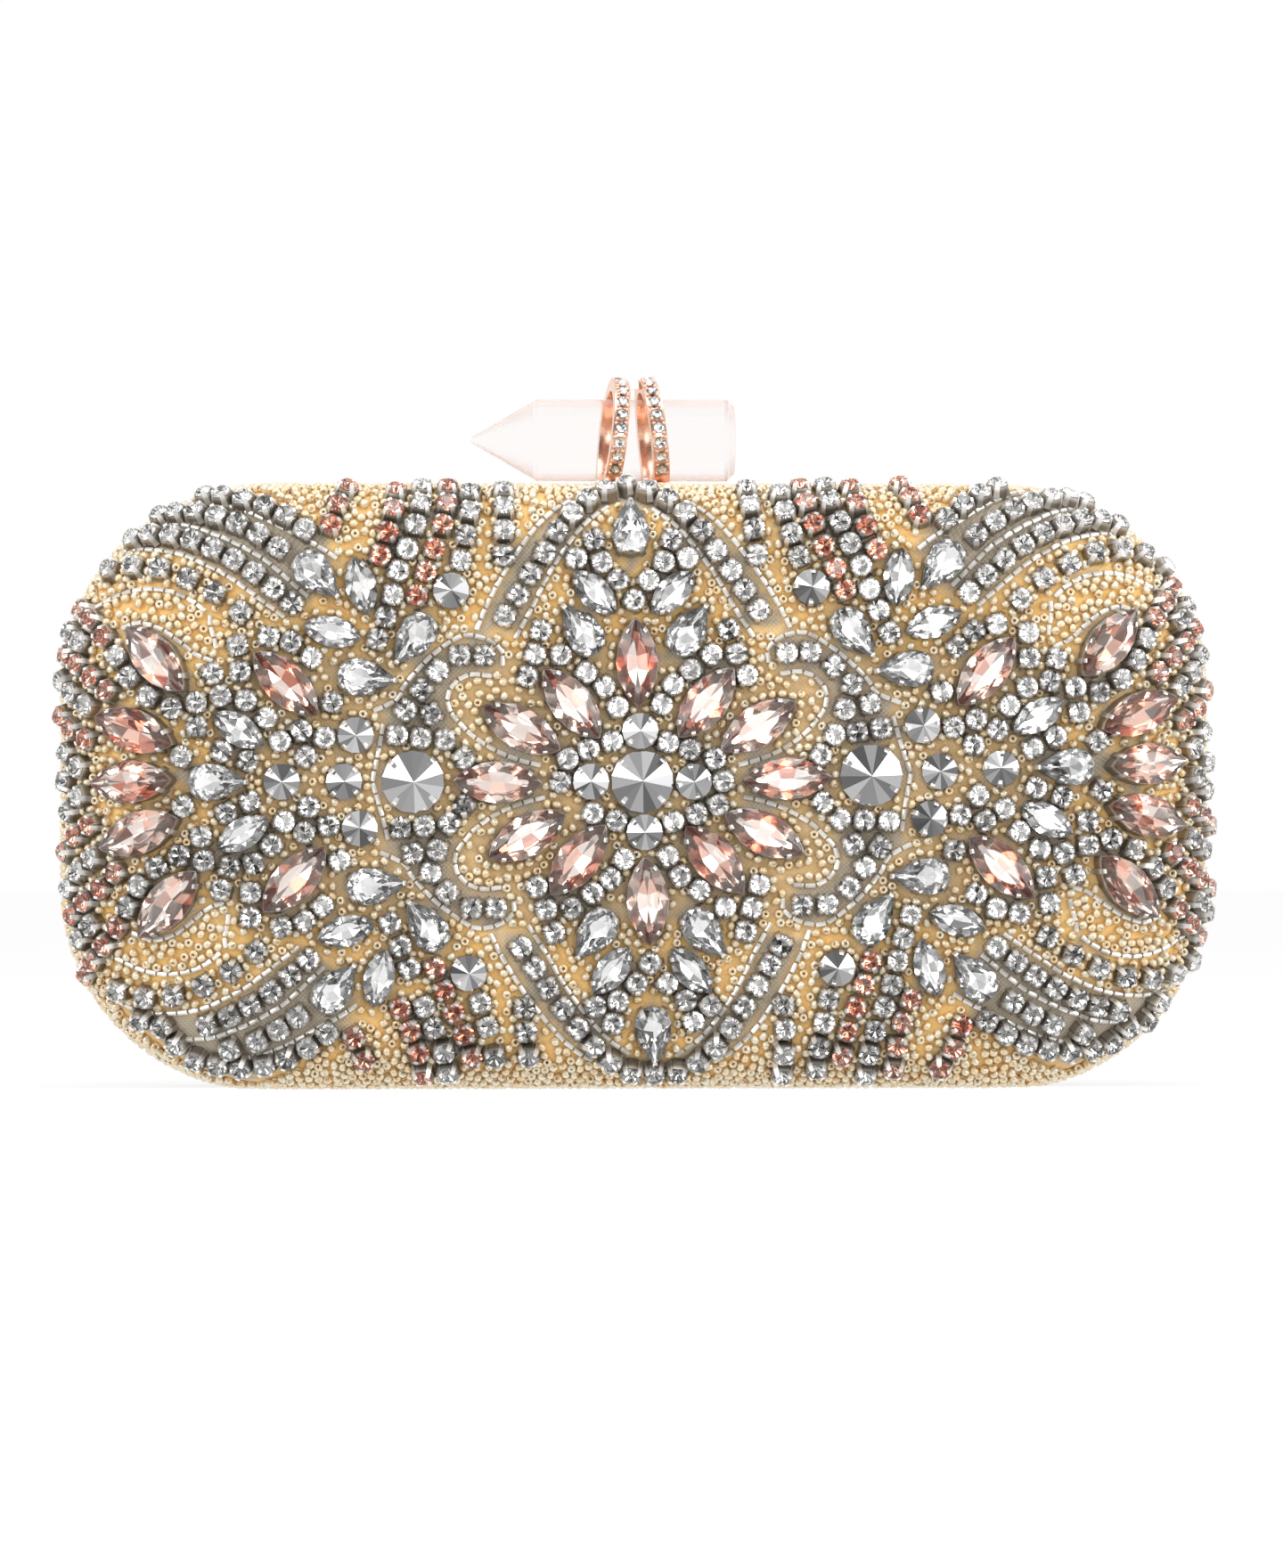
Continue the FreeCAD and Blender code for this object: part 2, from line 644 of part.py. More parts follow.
def surface(x, z):
    """Depth and outward normal of the bead tops over a place on the face; None beside the case."""
    if outside(x, z, layer_start)[0] > -edge_margin:
        return None
    if outside(x, z, half_depth)[0] <= 0:
        return half_depth, Vec(0, 1, 0)
    low = layer_start
    high = half_depth
    for _ in range(search_steps):
        middle = (low + high) / 2
        if outside(x, z, middle)[0] <= 0:
            low = middle
        else:
            high = middle
    _, flat_x, flat_z = outside(x, z, low)
    slope = flat_x * roll_slope(half_width, side_sweep, side_roll_start, low)
    slope += flat_z * roll_slope(half_height, top_sweep, top_roll_start, low)
    normal = Vec(math.copysign(flat_x, x), -slope, math.copysign(flat_z, z))
    return low, normal.normalize()


taken = []


def set_stone(cut, x, z, along_x, along_z):
    """Stone seated on the front half, or None where another stone already sits."""
    found = surface(x, z)
    if found is None:
        return None
    depth, normal = found
    flat = Vec(along_x, 0, along_z)
    along = (flat - normal * flat.dot(normal)).normalize()
    origin = Vec(x, depth, z)
    discs = [(origin + along * place, radius) for place, radius in cut.discs]
    for spot, radius in discs:
        for other, other_radius in taken:
            if (spot - other).Length < radius + other_radius + stone_gap:
                return None
        lowest = spot.z + min(normal.z, 0) * cut.height - radius * math.sqrt(1 - normal.z * normal.z)
        if lowest + mid_z < 0:
            return None
    taken.extend(discs)
    seat = origin + normal * seat_gap
    out = Vec(normal.x, -normal.y, normal.z)
    run = Vec(along.x, -along.y, along.z)
    across = out.cross(run)
    matrix = FreeCAD.Matrix(run.x, across.x, out.x, seat.x,
                            run.y, across.y, out.y, -seat.y,
                            run.z, across.z, out.z, seat.z + mid_z,
                            0, 0, 0, 1)
    stone = cut.solid.copy()
    stone.Placement = FreeCAD.Placement(matrix)
    return stone


def leaning(x, z, share_x):
    """A place or a direction of the even pattern, as the hand-sewn one has it."""
    turn = right_turn_share * max(0, min(1, 2 * share_x))
    return x - (lean_share + turn) * z, z + turn * x


def on_cloth(share_x, share_z, sx, sz):
    x, z = leaning(sx * share_x * half_width, sz * share_z * pattern_half_height, sx * share_x)
    return x, z + pattern_rise


quarters = ((-1, 1), (1, 1), (-1, -1), (1, -1))
top_and_bottom = ((1, 1), (1, -1))
both_sides = ((-1, 1), (1, 1))
top_only = ((1, 1),)
bottom_only = ((1, -1),)

# a stone that finds its place taken is sewn a little beside it
nudges = [(0, 0)]
for ring_number in range(1, nudge_rings + 1):
    for side_number in range(nudge_sides):
        nudge_turn = 2 * math.pi * side_number / nudge_sides
        nudge_reach = ring_number * nudge_step
        nudges.append((nudge_reach * math.cos(nudge_turn), nudge_reach * math.sin(nudge_turn)))


def scatter(cut, shares, signs):
    """Stones at the same places of each quarter, with the same turn."""
    stones = []
    for share in shares:
        turn = math.radians(share[2]) if len(share) > 2 else 0
        for sx, sz in signs:
            x, z = on_cloth(share[0], share[1], sx, sz)
            along_x, along_z = leaning(sx * math.cos(turn), sz * math.sin(turn), sx * share[0])
            for nudge_x, nudge_z in nudges:
                stone = set_stone(cut, x + nudge_x, z + nudge_z, along_x, along_z)
                if stone is not None:
                    stones.append(stone)
                    break
    return stones


def row(shares, pitch):
    """A row of chatons along a line of places, in each quarter, one pitch apart over the cloth."""
    stones = []
    for sx, sz in quarters:
        corners = [on_cloth(share[0], share[1], sx, sz) for share in shares]
        walked = pitch
        before = None
        for (x0, z0), (x1, z1) in zip(corners, corners[1:]):
            steps = max(1, round(math.hypot(x1 - x0, z1 - z0) / walk_step))
            for i in range(steps):
                x = x0 + (x1 - x0) * i / steps
                z = z0 + (z1 - z0) * i / steps
                found = surface(x, z)
                if found is None:
                    continue
                spot = Vec(x, found[0], z)
                if before is not None:
                    walked += (spot - before).Length
                before = spot
                if walked >= pitch:
                    stone = set_stone(chaton, x, z, x1 - x0, z1 - z0)
                    if stone is not None:
                        stones.append(stone)
                        walked = 0
    return stones


def rows(table, pitch):
    stones = []
    for shares in table:
        stones.extend(row(shares, pitch))
    return stones


rose_navettes = scatter(big_navette, navette_quarter_shares, quarters)
rose_navettes += scatter(big_navette, navette_upright_shares, top_and_bottom)
rose_navettes += scatter(big_navette, navette_level_shares, both_sides)
clear_pears = scatter(pear, pear_quarter_shares, quarters)
clear_pears += scatter(pear, pear_upright_shares, top_and_bottom)
clear_pears += scatter(pear, pear_level_shares, both_sides)
clear_navettes = scatter(small_navette, small_navette_quarter_shares, quarters)
large_rivolis = scatter(rivoli, ((0, 0, 0),), top_only)
large_rivolis += scatter(rivoli, rivoli_level_shares, both_sides)
small_rivolis = scatter(small_rivoli, small_rivoli_quarter_shares, quarters)
small_rivolis += scatter(small_rivoli, small_rivoli_upright_shares, top_and_bottom)
small_rivolis += scatter(small_rivoli, small_rivoli_level_shares, both_sides)

chevron_peach = rows(chevron_peach_row_shares, chaton_pitch)
chevron_clear = rows(chevron_clear_row_shares, chaton_pitch)
medallion = scatter(chaton, rosette_axis_shares, top_and_bottom)
medallion += scatter(chaton, rosette_level_shares, both_sides)
medallion += scatter(chaton, top_apex_shares, top_only)
medallion += scatter(chaton, bottom_apex_shares, bottom_only)
medallion += row(ogee_row_shares, chaton_pitch)
medallion += scatter(chaton, rosette_chaton_shares, quarters)
medallion += scatter(chaton, bracket_chaton_shares, quarters)
stripes = rows(stripe_row_shares, chaton_pitch)
stripes += row(wide_stripe_row_shares, wide_pitch)
side_peach = rows(side_peach_row_shares, chaton_pitch)
side_clear = scatter(chaton, side_chaton_shares, quarters)
side_clear += rows(side_clear_row_shares, chaton_pitch)
side_clear += scatter(chaton, side_axis_shares, both_sides)

export("rose_navettes", Part.makeCompound(rose_navettes))
export("clear_pears", Part.makeCompound(clear_pears))
export("clear_navettes", Part.makeCompound(clear_navettes))
export("large_rivolis", Part.makeCompound(large_rivolis))
export("small_rivolis", Part.makeCompound(small_rivolis))
export("chevron_peach_chatons", Part.makeCompound(chevron_peach))
export("chevron_clear_chatons", Part.makeCompound(chevron_clear))
export("medallion_chatons", Part.makeCompound(medallion))
export("stripe_chatons", Part.makeCompound(stripes))
export("side_peach_chatons", Part.makeCompound(side_peach))
export("side_clear_chatons", Part.makeCompound(side_clear))

# small stones set along both bands of the clasp ring
pave = Cut(round_points(2 * pave_radius, chaton_sides), ((0, 1), (pave_height, pave_table_share)), pave_radius,
           2 * pave_radius, None)
pave_count = int(2 * math.pi * ring_outer_radius / pave_pitch)
ring_stones = []
for side in (-1, 1):
    stand = band_placement(side)
    for i in range(pave_count):
        turn = 2 * math.pi * (i + 0.5) / pave_count
        out = stand.Rotation.multVec(Vec(0, math.cos(turn), math.sin(turn)))
        run = stand.Rotation.multVec(Vec(1, 0, 0))
        across = out.cross(run)
        seat = stand.Base + out * (ring_outer_radius + pave_seat)
        if seat.z < foot_top + 2 * pave_radius:
            continue
        if abs(seat.x) < band_width / 2 + pave_radius and abs(seat.y - ring_y) < band_width / 2 + pave_radius:
            continue
        matrix = FreeCAD.Matrix(run.x, across.x, out.x, seat.x, run.y, across.y, out.y, seat.y,
                                run.z, across.z, out.z, seat.z, 0, 0, 0, 1)
        stone = pave.solid.copy()
        stone.Placement = FreeCAD.Placement(matrix)
        ring_stones.append(stone)
export("ring_stones", Part.makeCompound(ring_stones))

print("stones", len(rose_navettes), len(clear_pears), len(clear_navettes), len(large_rivolis), len(small_rivolis))
print("chatons", len(chevron_peach), len(chevron_clear), len(medallion), len(stripes), len(side_peach),
      len(side_clear), len(ring_stones))
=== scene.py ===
"""Jewelled hard-case evening clutch with a crystal ring clasp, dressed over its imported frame.

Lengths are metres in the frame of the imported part: X across, -Y to the front, Z up.
"""

import json
import logging
import math
from collections import defaultdict
from collections.abc import Callable, Iterable, Sequence
from dataclasses import dataclass, field
from enum import Enum
from typing import Any

import bmesh
import bpy
import numpy as np
from mathutils import Matrix, Vector, kdtree
from mathutils.bvhtree import BVHTree


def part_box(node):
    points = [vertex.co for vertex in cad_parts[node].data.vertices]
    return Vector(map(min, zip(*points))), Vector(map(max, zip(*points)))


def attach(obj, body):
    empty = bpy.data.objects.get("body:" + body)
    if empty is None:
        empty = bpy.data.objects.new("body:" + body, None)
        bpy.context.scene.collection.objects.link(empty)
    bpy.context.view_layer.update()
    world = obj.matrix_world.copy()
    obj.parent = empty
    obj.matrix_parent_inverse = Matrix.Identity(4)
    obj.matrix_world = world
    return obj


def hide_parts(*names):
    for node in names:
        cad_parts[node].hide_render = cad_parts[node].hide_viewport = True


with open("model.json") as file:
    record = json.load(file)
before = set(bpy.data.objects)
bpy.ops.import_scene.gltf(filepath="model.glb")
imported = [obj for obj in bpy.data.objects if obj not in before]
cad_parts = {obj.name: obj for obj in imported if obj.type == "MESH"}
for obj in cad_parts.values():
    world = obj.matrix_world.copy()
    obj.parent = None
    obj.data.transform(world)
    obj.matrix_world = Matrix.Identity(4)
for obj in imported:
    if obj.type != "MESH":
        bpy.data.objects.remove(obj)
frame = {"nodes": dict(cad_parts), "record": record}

LOG = logging.getLogger("clutch")
MM = 0.001
FULL_TURN = 2 * math.pi
WELD = 1e-6
FINE_WELD = 1e-7
FLAT_ANGLE = math.radians(0.5)
STONE_SEED = 11
RING_SEED = 3
CHATON_TIP_DEGREES = 4.0
STONE_TIP_DEGREES = 2.0
DIAGONALS = (45, 135, 225, 315)
LINING_MARGIN = Vector((1.6, 1.6, 1.6)) * MM
FOOT_MARGIN_BELOW = Vector((0.3, 0.6, 6.0)) * MM
FOOT_MARGIN_ABOVE = Vector((0.3, 0.1, 0)) * MM
Colour = tuple[float, float, float]
Point = tuple[float, float, float]
Place = tuple[float, float]


class Body(str, Enum):
    """The moving bodies of the frame."""

    BACK = "back_half"
    FRONT = "front_half"
    CLASP = "clasp"


class Slot(str, Enum):
    """The material slots of the record."""

    CLOTH = "beaded_cloth"
    SHELL = "case_shell"
    LINING = "satin_lining"
    GOLD = "rose_gold"
    STEEL = "steel"
    ROSE = "rose_crystal"
    PEACH = "peach_crystal"
    CLEAR = "clear_crystal"
    GREY = "grey_crystal"
    CLASP = "clasp_crystal"


class Cut(Enum):
    """The cuts of the sewn stones."""

    NAVETTE = "navette"
    PEAR = "pear"
    RIVOLI = "rivoli"
    CHATON = "chaton"


class Wire:
    """An output socket that takes part in shader arithmetic."""

    def __init__(self, shader: "Shader", socket: bpy.types.NodeSocket) -> None:
        """Keeps the socket and the shader that it belongs to."""
        self.shader = shader
        self.socket = socket

    def output(self, name: str) -> "Wire":
        """Another output of the same node."""
        return Wire(self.shader, self.socket.node.outputs[name])

    def _math(self, operation: str, *values: Any) -> "Wire":
        """A Math node on the given values."""
        return self.shader.node("ShaderNodeMath", {"operation": operation}, dict(enumerate(values)))

    def __add__(self, other: Any) -> "Wire":
        """Sum."""
        return self._math("ADD", self, other)

    def __radd__(self, other: Any) -> "Wire":
        """Sum, reflected."""
        return self._math("ADD", other, self)

    def __sub__(self, other: Any) -> "Wire":
        """Difference."""
        return self._math("SUBTRACT", self, other)

    def __rsub__(self, other: Any) -> "Wire":
        """Difference, reflected."""
        return self._math("SUBTRACT", other, self)

    def __mul__(self, other: Any) -> "Wire":
        """Product."""
        return self._math("MULTIPLY", self, other)

    def __rmul__(self, other: Any) -> "Wire":
        """Product, reflected."""
        return self._math("MULTIPLY", other, self)

    def __abs__(self) -> "Wire":
        """Size without sign."""
        return self._math("ABSOLUTE", self)

    def sine(self) -> "Wire":
        """Sine of the value in radians."""
        return self._math("SINE", self)

    def larger(self, other: Any) -> "Wire":
        """The larger of two values."""
        return self._math("MAXIMUM", self, other)

    def ease(self, low: float, high: float) -> "Wire":
        """Smooth step from 0 at low to 1 at high.

        Args:
            low: value that gives 0.
            high: value that gives 1.

        Returns:
            The eased value.
        """
        return self.shader.node(
            "ShaderNodeMapRange",
            {"interpolation_type": "SMOOTHSTEP"},
            {"Value": self, "From Min": low, "From Max": high},
        )


class Shader:
    """The node tree of a material or a world."""

    def __init__(self, owner: bpy.types.Material | bpy.types.World) -> None:
        """Empties the owner's tree.

        Args:
            owner: new material or world.
        """
        owner.use_nodes = True
        self.owner = owner
        self.tree = owner.node_tree
        self.tree.nodes.clear()

    def node(self, kind: str, settings: dict | None = None, sockets: dict | None = None) -> Wire:
        """Adds one node.

        Args:
            kind: Blender's name of the node type.
            settings: properties of the node, such as a Math node's operation, which are set first.
            sockets: values or wires of its inputs, by name or number.

        Returns:
            The node's first live output.
        """
        made = self.tree.nodes.new(kind)
        for key, value in (settings or {}).items():
            setattr(made, key, value)
        for key, value in (sockets or {}).items():
            if isinstance(value, Wire):
                self.tree.links.new(value.socket, made.inputs[key])
            else:
                made.inputs[key].default_value = value
        live = [output for output in made.outputs if output.enabled]
        return Wire(self, live[0]) if live else Wire(self, None)

    def place(self) -> tuple[Wire, Wire, Wire]:
        """The three Object coordinates."""
        split = self.node("ShaderNodeSeparateXYZ", None, {0: self.coordinates()})
        return split.output("X"), split.output("Y"), split.output("Z")

    def coordinates(self) -> Wire:
        """Object coordinates as one vector."""
        return self.node("ShaderNodeTexCoord").output("Object")

    def attribute(self, name: str) -> Wire:
        """A value that the mesh carries."""
        return self.node("ShaderNodeAttribute", {"attribute_name": name}).output("Fac")

    def noise(self, pitch: float, detail: float = 3.0, place: Wire | None = None) -> Wire:
        """Noise from 0 to 1 with features about one pitch apart, at a place or the Object coordinates."""
        sockets = {"Vector": place or self.coordinates(), "Scale": 1 / pitch, "Detail": detail}
        return self.node("ShaderNodeTexNoise", None, sockets)

    def mix(self, share: Any, first: Any, second: Any) -> Wire:
        """Colour from first at 0 to second at 1."""
        colours = [value if isinstance(value, Wire) else (*value, 1.0) for value in (first, second)]
        return self.node("ShaderNodeMix", {"data_type": "RGBA"}, {0: share, 6: colours[0], 7: colours[1]})

    def bump(self, height: Wire, distance: float, strength: float = 1.0) -> Wire:
        """Normal raised by a height from 0 to 1."""
        sockets = {"Height": height, "Distance": distance, "Strength": strength}
        return self.node("ShaderNodeBump", None, sockets)

    def principled(self, **sockets: Any) -> Wire:
        """Main surface; the names of its sockets are written with underscores.

        Args:
            sockets: values or wires, a colour as three numbers.

        Returns:
            The finished surface.
        """
        named = {}
        for key, value in sockets.items():
            if isinstance(value, tuple) and len(value) == 3:
                value = (*value, 1.0)
            named[key.replace("_", " ")] = value
        return self.node("ShaderNodeBsdfPrincipled", None, named)

    def close(self, surface: Wire) -> bpy.types.Material:
        """Joins the surface to the output and returns the owner.

        Args:
            surface: the finished surface.

        Returns:
            The material or world.
        """
        kind = "World" if isinstance(self.owner, bpy.types.World) else "Material"
        self.node("ShaderNodeOutput" + kind, None, {"Surface": surface})
        return self.owner


def new_shader(name: str) -> Shader:
    """A shader on a new material of that name."""
    return Shader(bpy.data.materials.new(name))


@dataclass(frozen=True)
class Finish:
    """A finish that becomes one material."""

    name: str

    def surface(self, shader: Shader) -> Wire:
        """The surface, which each kind of finish makes in its own way."""
        raise NotImplementedError

    def material(self) -> bpy.types.Material:
        """A new material of this finish."""
        shader = new_shader(self.name)
        return shader.close(self.surface(shader))


@dataclass(frozen=True)
class MetalFinish(Finish):
    """A polished or brushed metal."""

    colour: Colour
    tarnish: Colour
    polish: float
    wear: float
    grain: float = 0.9 * MM
    cloud_scale: float = 6.0
    squeeze: float = 3.0
    tarnish_from: float = 0.5
    tarnish_to: float = 0.85
    scratch_depth: float = 0.02 * MM
    scratch_strength: float = 0.35

    def surface(self, shader: Shader) -> Wire:
        """The metal with clouded polish, fine scratches and a little tarnish.

        Args:
            shader: tree of the new material.

        Returns:
            The finished surface.
        """
        cloud = shader.noise(self.grain * self.cloud_scale, 4.0)
        x, y, z = shader.place()
        along = shader.node("ShaderNodeCombineXYZ", None, {0: x, 1: y * self.squeeze, 2: z * self.squeeze})
        scratch = shader.noise(self.grain, 5.0, along)
        tarnished = cloud.ease(self.tarnish_from, self.tarnish_to)
        return shader.principled(
            Base_Color=shader.mix(tarnished, self.colour, self.tarnish),
            Metallic=1.0,
            Roughness=cloud * self.wear + scratch * self.wear + self.polish,
            Normal=shader.bump(scratch, self.scratch_depth, self.scratch_strength),
        )


@dataclass(frozen=True)
class CupFinish(Finish):
    """Plated metal of the cups, painted darker towards the cloth: painted shade in its recesses, with some
    tarnish.
    """

    bright: Colour
    dark: Colour
    metal: float = 0.8
    polish: float = 0.26
    wear: float = 0.2
    shade_painted_from: float = 0.45
    shade_painted_to: float = 0.8
    dent_pitch: float = 1.1 * MM
    dent_depth: float = 0.03 * MM
    dent_strength: float = 0.4

    def surface(self, shader: Shader) -> Wire:
        """The plating; the mesh's rise is 0 at the cloth and 1 at the tips of the claws.

        Args:
            shader: tree of the new material.

        Returns:
            The finished surface.
        """
        # Painted shade: the plating darkens from the claw tips towards the cloth, standing in for shade in
        # the recesses, with some tarnish.
        rise = shader.attribute("rise").ease(self.shade_painted_from, self.shade_painted_to)
        dents = shader.noise(self.dent_pitch)
        return shader.principled(
            Base_Color=shader.mix(rise, self.dark, self.bright),
            Metallic=self.metal,
            Roughness=self.polish + dents * self.wear,
            Normal=shader.bump(dents, self.dent_depth, self.dent_strength),
        )


@dataclass(frozen=True)
class CrystalFinish:
    """A foiled crystal: clear crown over a mirrored and tinted pavilion."""

    name: str
    glass: Colour
    pale: Colour
    foil: Colour
    deep: Colour
    pale_share: float
    deep_share: float
    bend: float = 1.56
    metal: float = 0.88
    blend: float = 0.05
    polish: float = 0.04
    wear: float = 0.06
    mirrored: bool = False

    def crown(self) -> bpy.types.Material:
        """The top that light enters by, or a mirror coat in place of clear glass.

        Returns:
            The material of the crown.
        """
        shader = new_shader(self.name + "_crown")
        if self.mirrored:
            return self.mirror(shader)
        surface = shader.principled(
            Base_Color=self.glass,
            Roughness=0.0,
            IOR=self.bend,
            Transmission_Weight=1.0,
        )
        return shader.close(surface)

    def mirror(self, shader: Shader) -> bpy.types.Material:
        """Tinted mirror under a clear coat, with painted reflections: glint picks a pale, foil or deep colour
        from facet to facet, standing in for light reflected inside the stone, and tone varies it from stone
        to stone.

        Args:
            shader: tree of the new material.

        Returns:
            The material.
        """
        # Painted reflection: a random glint for each facet picks a pale, foil or deep colour, standing in for
        # light reflected inside the stone.
        glint = shader.attribute("glint")
        past_pale = glint.ease(self.pale_share - self.blend, self.pale_share + self.blend)
        light = shader.mix(past_pale, self.pale, self.foil)
        deep = glint.ease(1 - self.blend - self.deep_share, 1 + self.blend - self.deep_share)
        surface = shader.principled(
            Base_Color=shader.mix(deep, light, self.deep),
            Metallic=self.metal,
            Roughness=self.polish + shader.attribute("tone") * self.wear,
            Coat_Weight=1.0,
            Coat_Roughness=0.0,
        )
        return shader.close(surface)

    def pavilion(self) -> bpy.types.Material:
        """The mirrored underside, seen through the crown."""
        return self.mirror(new_shader(self.name + "_foil"))


@dataclass(frozen=True)
class GlassFinish(Finish):
    """Glass of small beads."""

    pale: Colour
    deep: Colour
    metal: float
    rough: float
    rough_spread: float
    bend: float = 1.5
    through: float = 0.0
    coat: float = 0.0
    coat_rough: float = 0.03

    def surface(self, shader: Shader) -> Wire:
        """Glass whose tint and polish vary from bead to bead.

        Args:
            shader: tree of the new material.

        Returns:
            The finished surface.
        """
        tone = shader.attribute("tone")
        return shader.principled(
            Base_Color=shader.mix(tone, self.pale, self.deep),
            Metallic=self.metal,
            Roughness=self.rough + tone * self.rough_spread,
            IOR=self.bend,
            Transmission_Weight=self.through,
            Coat_Weight=self.coat,
            Coat_Roughness=self.coat_rough,
        )


@dataclass(frozen=True)
class ClothFinish(Finish):
    """Grey-beige ground cloth, honey coloured where seed beads cover it."""

    name: str = "ground_cloth"
    plain: Colour = (0.52, 0.445, 0.34)
    thread: Colour = (0.38, 0.32, 0.24)
    honey: Colour = (0.98, 0.63, 0.23)
    pitch: float = 0.42 * MM
    slub_pitch: float = 2.5 * MM
    weave_share: float = 0.5
    slub_share: float = 0.6
    relief: float = 0.12 * MM
    relief_strength: float = 0.7
    rough: float = 0.7
    rough_spread: float = 0.2
    sheen: float = 0.25

    def surface(self, shader: Shader) -> Wire:
        """Fine plain weave that follows the cloth over the rolled edges.

        Args:
            shader: tree of the new material.

        Returns:
            The finished surface.
        """
        x, y, z = shader.place()
        turn = math.pi / self.pitch
        warp = ((abs(x) + abs(y)) * turn).sine()
        weft = ((z + abs(y)) * turn).sine()
        weave = warp * weft * self.weave_share
        slub = shader.noise(self.slub_pitch, 4.0)
        ground = shader.mix((weave + slub).ease(0.2, 1.0), self.thread, self.plain)
        return shader.principled(
            Base_Color=shader.mix(shader.attribute("honey"), ground, self.honey),
            Roughness=self.rough + slub * self.rough_spread,
            Normal=shader.bump(weave + slub * self.slub_share, self.relief, self.relief_strength),
            Sheen_Weight=self.sheen,
        )


@dataclass(frozen=True)
class SatinFinish(Finish):
    """Champagne satin of the linings."""

    name: str = "champagne_satin"
    light: Colour = (0.60, 0.44, 0.36)
    shade: Colour = (0.45, 0.315, 0.25)
    pitch: float = 0.3 * MM
    pucker_pitch: float = 16 * MM
    pucker_depth: float = 1.2 * MM
    pucker_strength: float = 0.5
    float_share: float = 0.04
    rough: float = 0.32
    rough_spread: float = 0.14
    sheen: float = 0.4

    def surface(self, shader: Shader) -> Wire:
        """Satin with soft puckers, painted lighter on their tops and darker in their hollows, and fine floats
        along X.

        Args:
            shader: tree of the new material.

        Returns:
            The finished surface.
        """
        _, y, z = shader.place()
        floats = ((z + y) * (math.pi / self.pitch)).sine()
        pucker = shader.noise(self.pucker_pitch, 2.0)
        height = pucker + floats * self.float_share
        return shader.principled(
            # Painted light and shade: the colour follows the pucker height, lighter on the tops and darker in
            # the hollows.
            Base_Color=shader.mix(pucker, self.shade, self.light),
            Roughness=self.rough + pucker * self.rough_spread,
            Normal=shader.bump(height, self.pucker_depth, self.pucker_strength),
            Sheen_Weight=self.sheen,
        )


@dataclass(frozen=True)
class BoardFinish(Finish):
    """Lacquered fibreboard of the hard shells."""

    name: str = "lacquered_board"
    colour: Colour = (0.16, 0.13, 0.11)
    fleck: Colour = (0.30, 0.25, 0.20)
    fibre_pitch: float = 1.4 * MM
    fibre_depth: float = 0.1 * MM
    fibre_strength: float = 0.5
    rough: float = 0.45
    rough_spread: float = 0.2

    def surface(self, shader: Shader) -> Wire:
        """Board with pressed fibres under a thin lacquer.

        Args:
            shader: tree of the new material.

        Returns:
            The finished surface.
        """
        fibre = shader.noise(self.fibre_pitch, 6.0)
        return shader.principled(
            Base_Color=shader.mix(fibre.ease(0.45, 0.7), self.colour, self.fleck),
            Roughness=self.rough + fibre * self.rough_spread,
            Normal=shader.bump(fibre, self.fibre_depth, self.fibre_strength),
        )


@dataclass(frozen=True)
class ClearFinish(Finish):
    """Water-clear crystal of the clasp."""

    name: str = "clasp_glass"
    tint: Colour = (0.985, 0.956, 0.944)
    painted_rim_reflection: Colour = (0.90, 0.72, 0.66)
    bend: float = 1.06
    edge_share: float = 0.65
    edge_from: float = 0.2
    edge_to: float = 0.85
    rim_rough: float = 0.15
    rim_bend: float = 1.3
    rim_through: float = 0.5

    def surface(self, shader: Shader) -> Wire:
        """Clear glass with a pink painted reflection where it is seen edge on.

        Args:
            shader: tree of the new material.

        Returns:
            The finished surface.
        """
        # Painted reflection: seen edge on, the glass turns towards a pink colour that stands in for pink
        # light from the case reflected and bent in it.
        facing = shader.node("ShaderNodeLayerWeight", None, {"Blend": 0.5}).output("Facing")
        edge = facing.ease(self.edge_from, self.edge_to) * self.edge_share
        clear = shader.principled(Base_Color=self.tint, Roughness=0.0, IOR=self.bend, Transmission_Weight=1.0)
        rim = shader.principled(
            Base_Color=self.painted_rim_reflection,
            Roughness=self.rim_rough,
            IOR=self.rim_bend,
            Transmission_Weight=self.rim_through,
        )
        return shader.node("ShaderNodeMixShader", None, {0: edge, 1: clear, 2: rim})


ROSE_GOLD = MetalFinish("rose_gold", (0.92, 0.61, 0.47), (0.78, 0.45, 0.32), 0.16, 0.1)
STEEL = MetalFinish("brushed_steel", (0.62, 0.61, 0.60), (0.45, 0.44, 0.42), 0.2, 0.12, squeeze=14.0)
SEED_GLASS = GlassFinish(
    "champagne_glass", (1.0, 0.90, 0.69), (0.98, 0.74, 0.42), 0.25, 0.06, 0.08, bend=2.2, through=0.25
)
BUGLE_GLASS = GlassFinish(
    "silver_lined_glass", (0.92, 0.91, 0.88), (0.62, 0.59, 0.53), 0.4, 0.2, 0.12, coat=1.0
)
# One plating in two copies: the claw copy is lighter, painted highlight on the claws, and the cup copy
# darker, painted shade down in the cups.
SILVER_CLAW = CupFinish("silver_claw", (1.0, 0.98, 0.95), (0.40, 0.36, 0.31))
SHADED_SILVER_CUP = CupFinish("shaded_silver_cup", (0.78, 0.74, 0.68), (0.29, 0.26, 0.22))
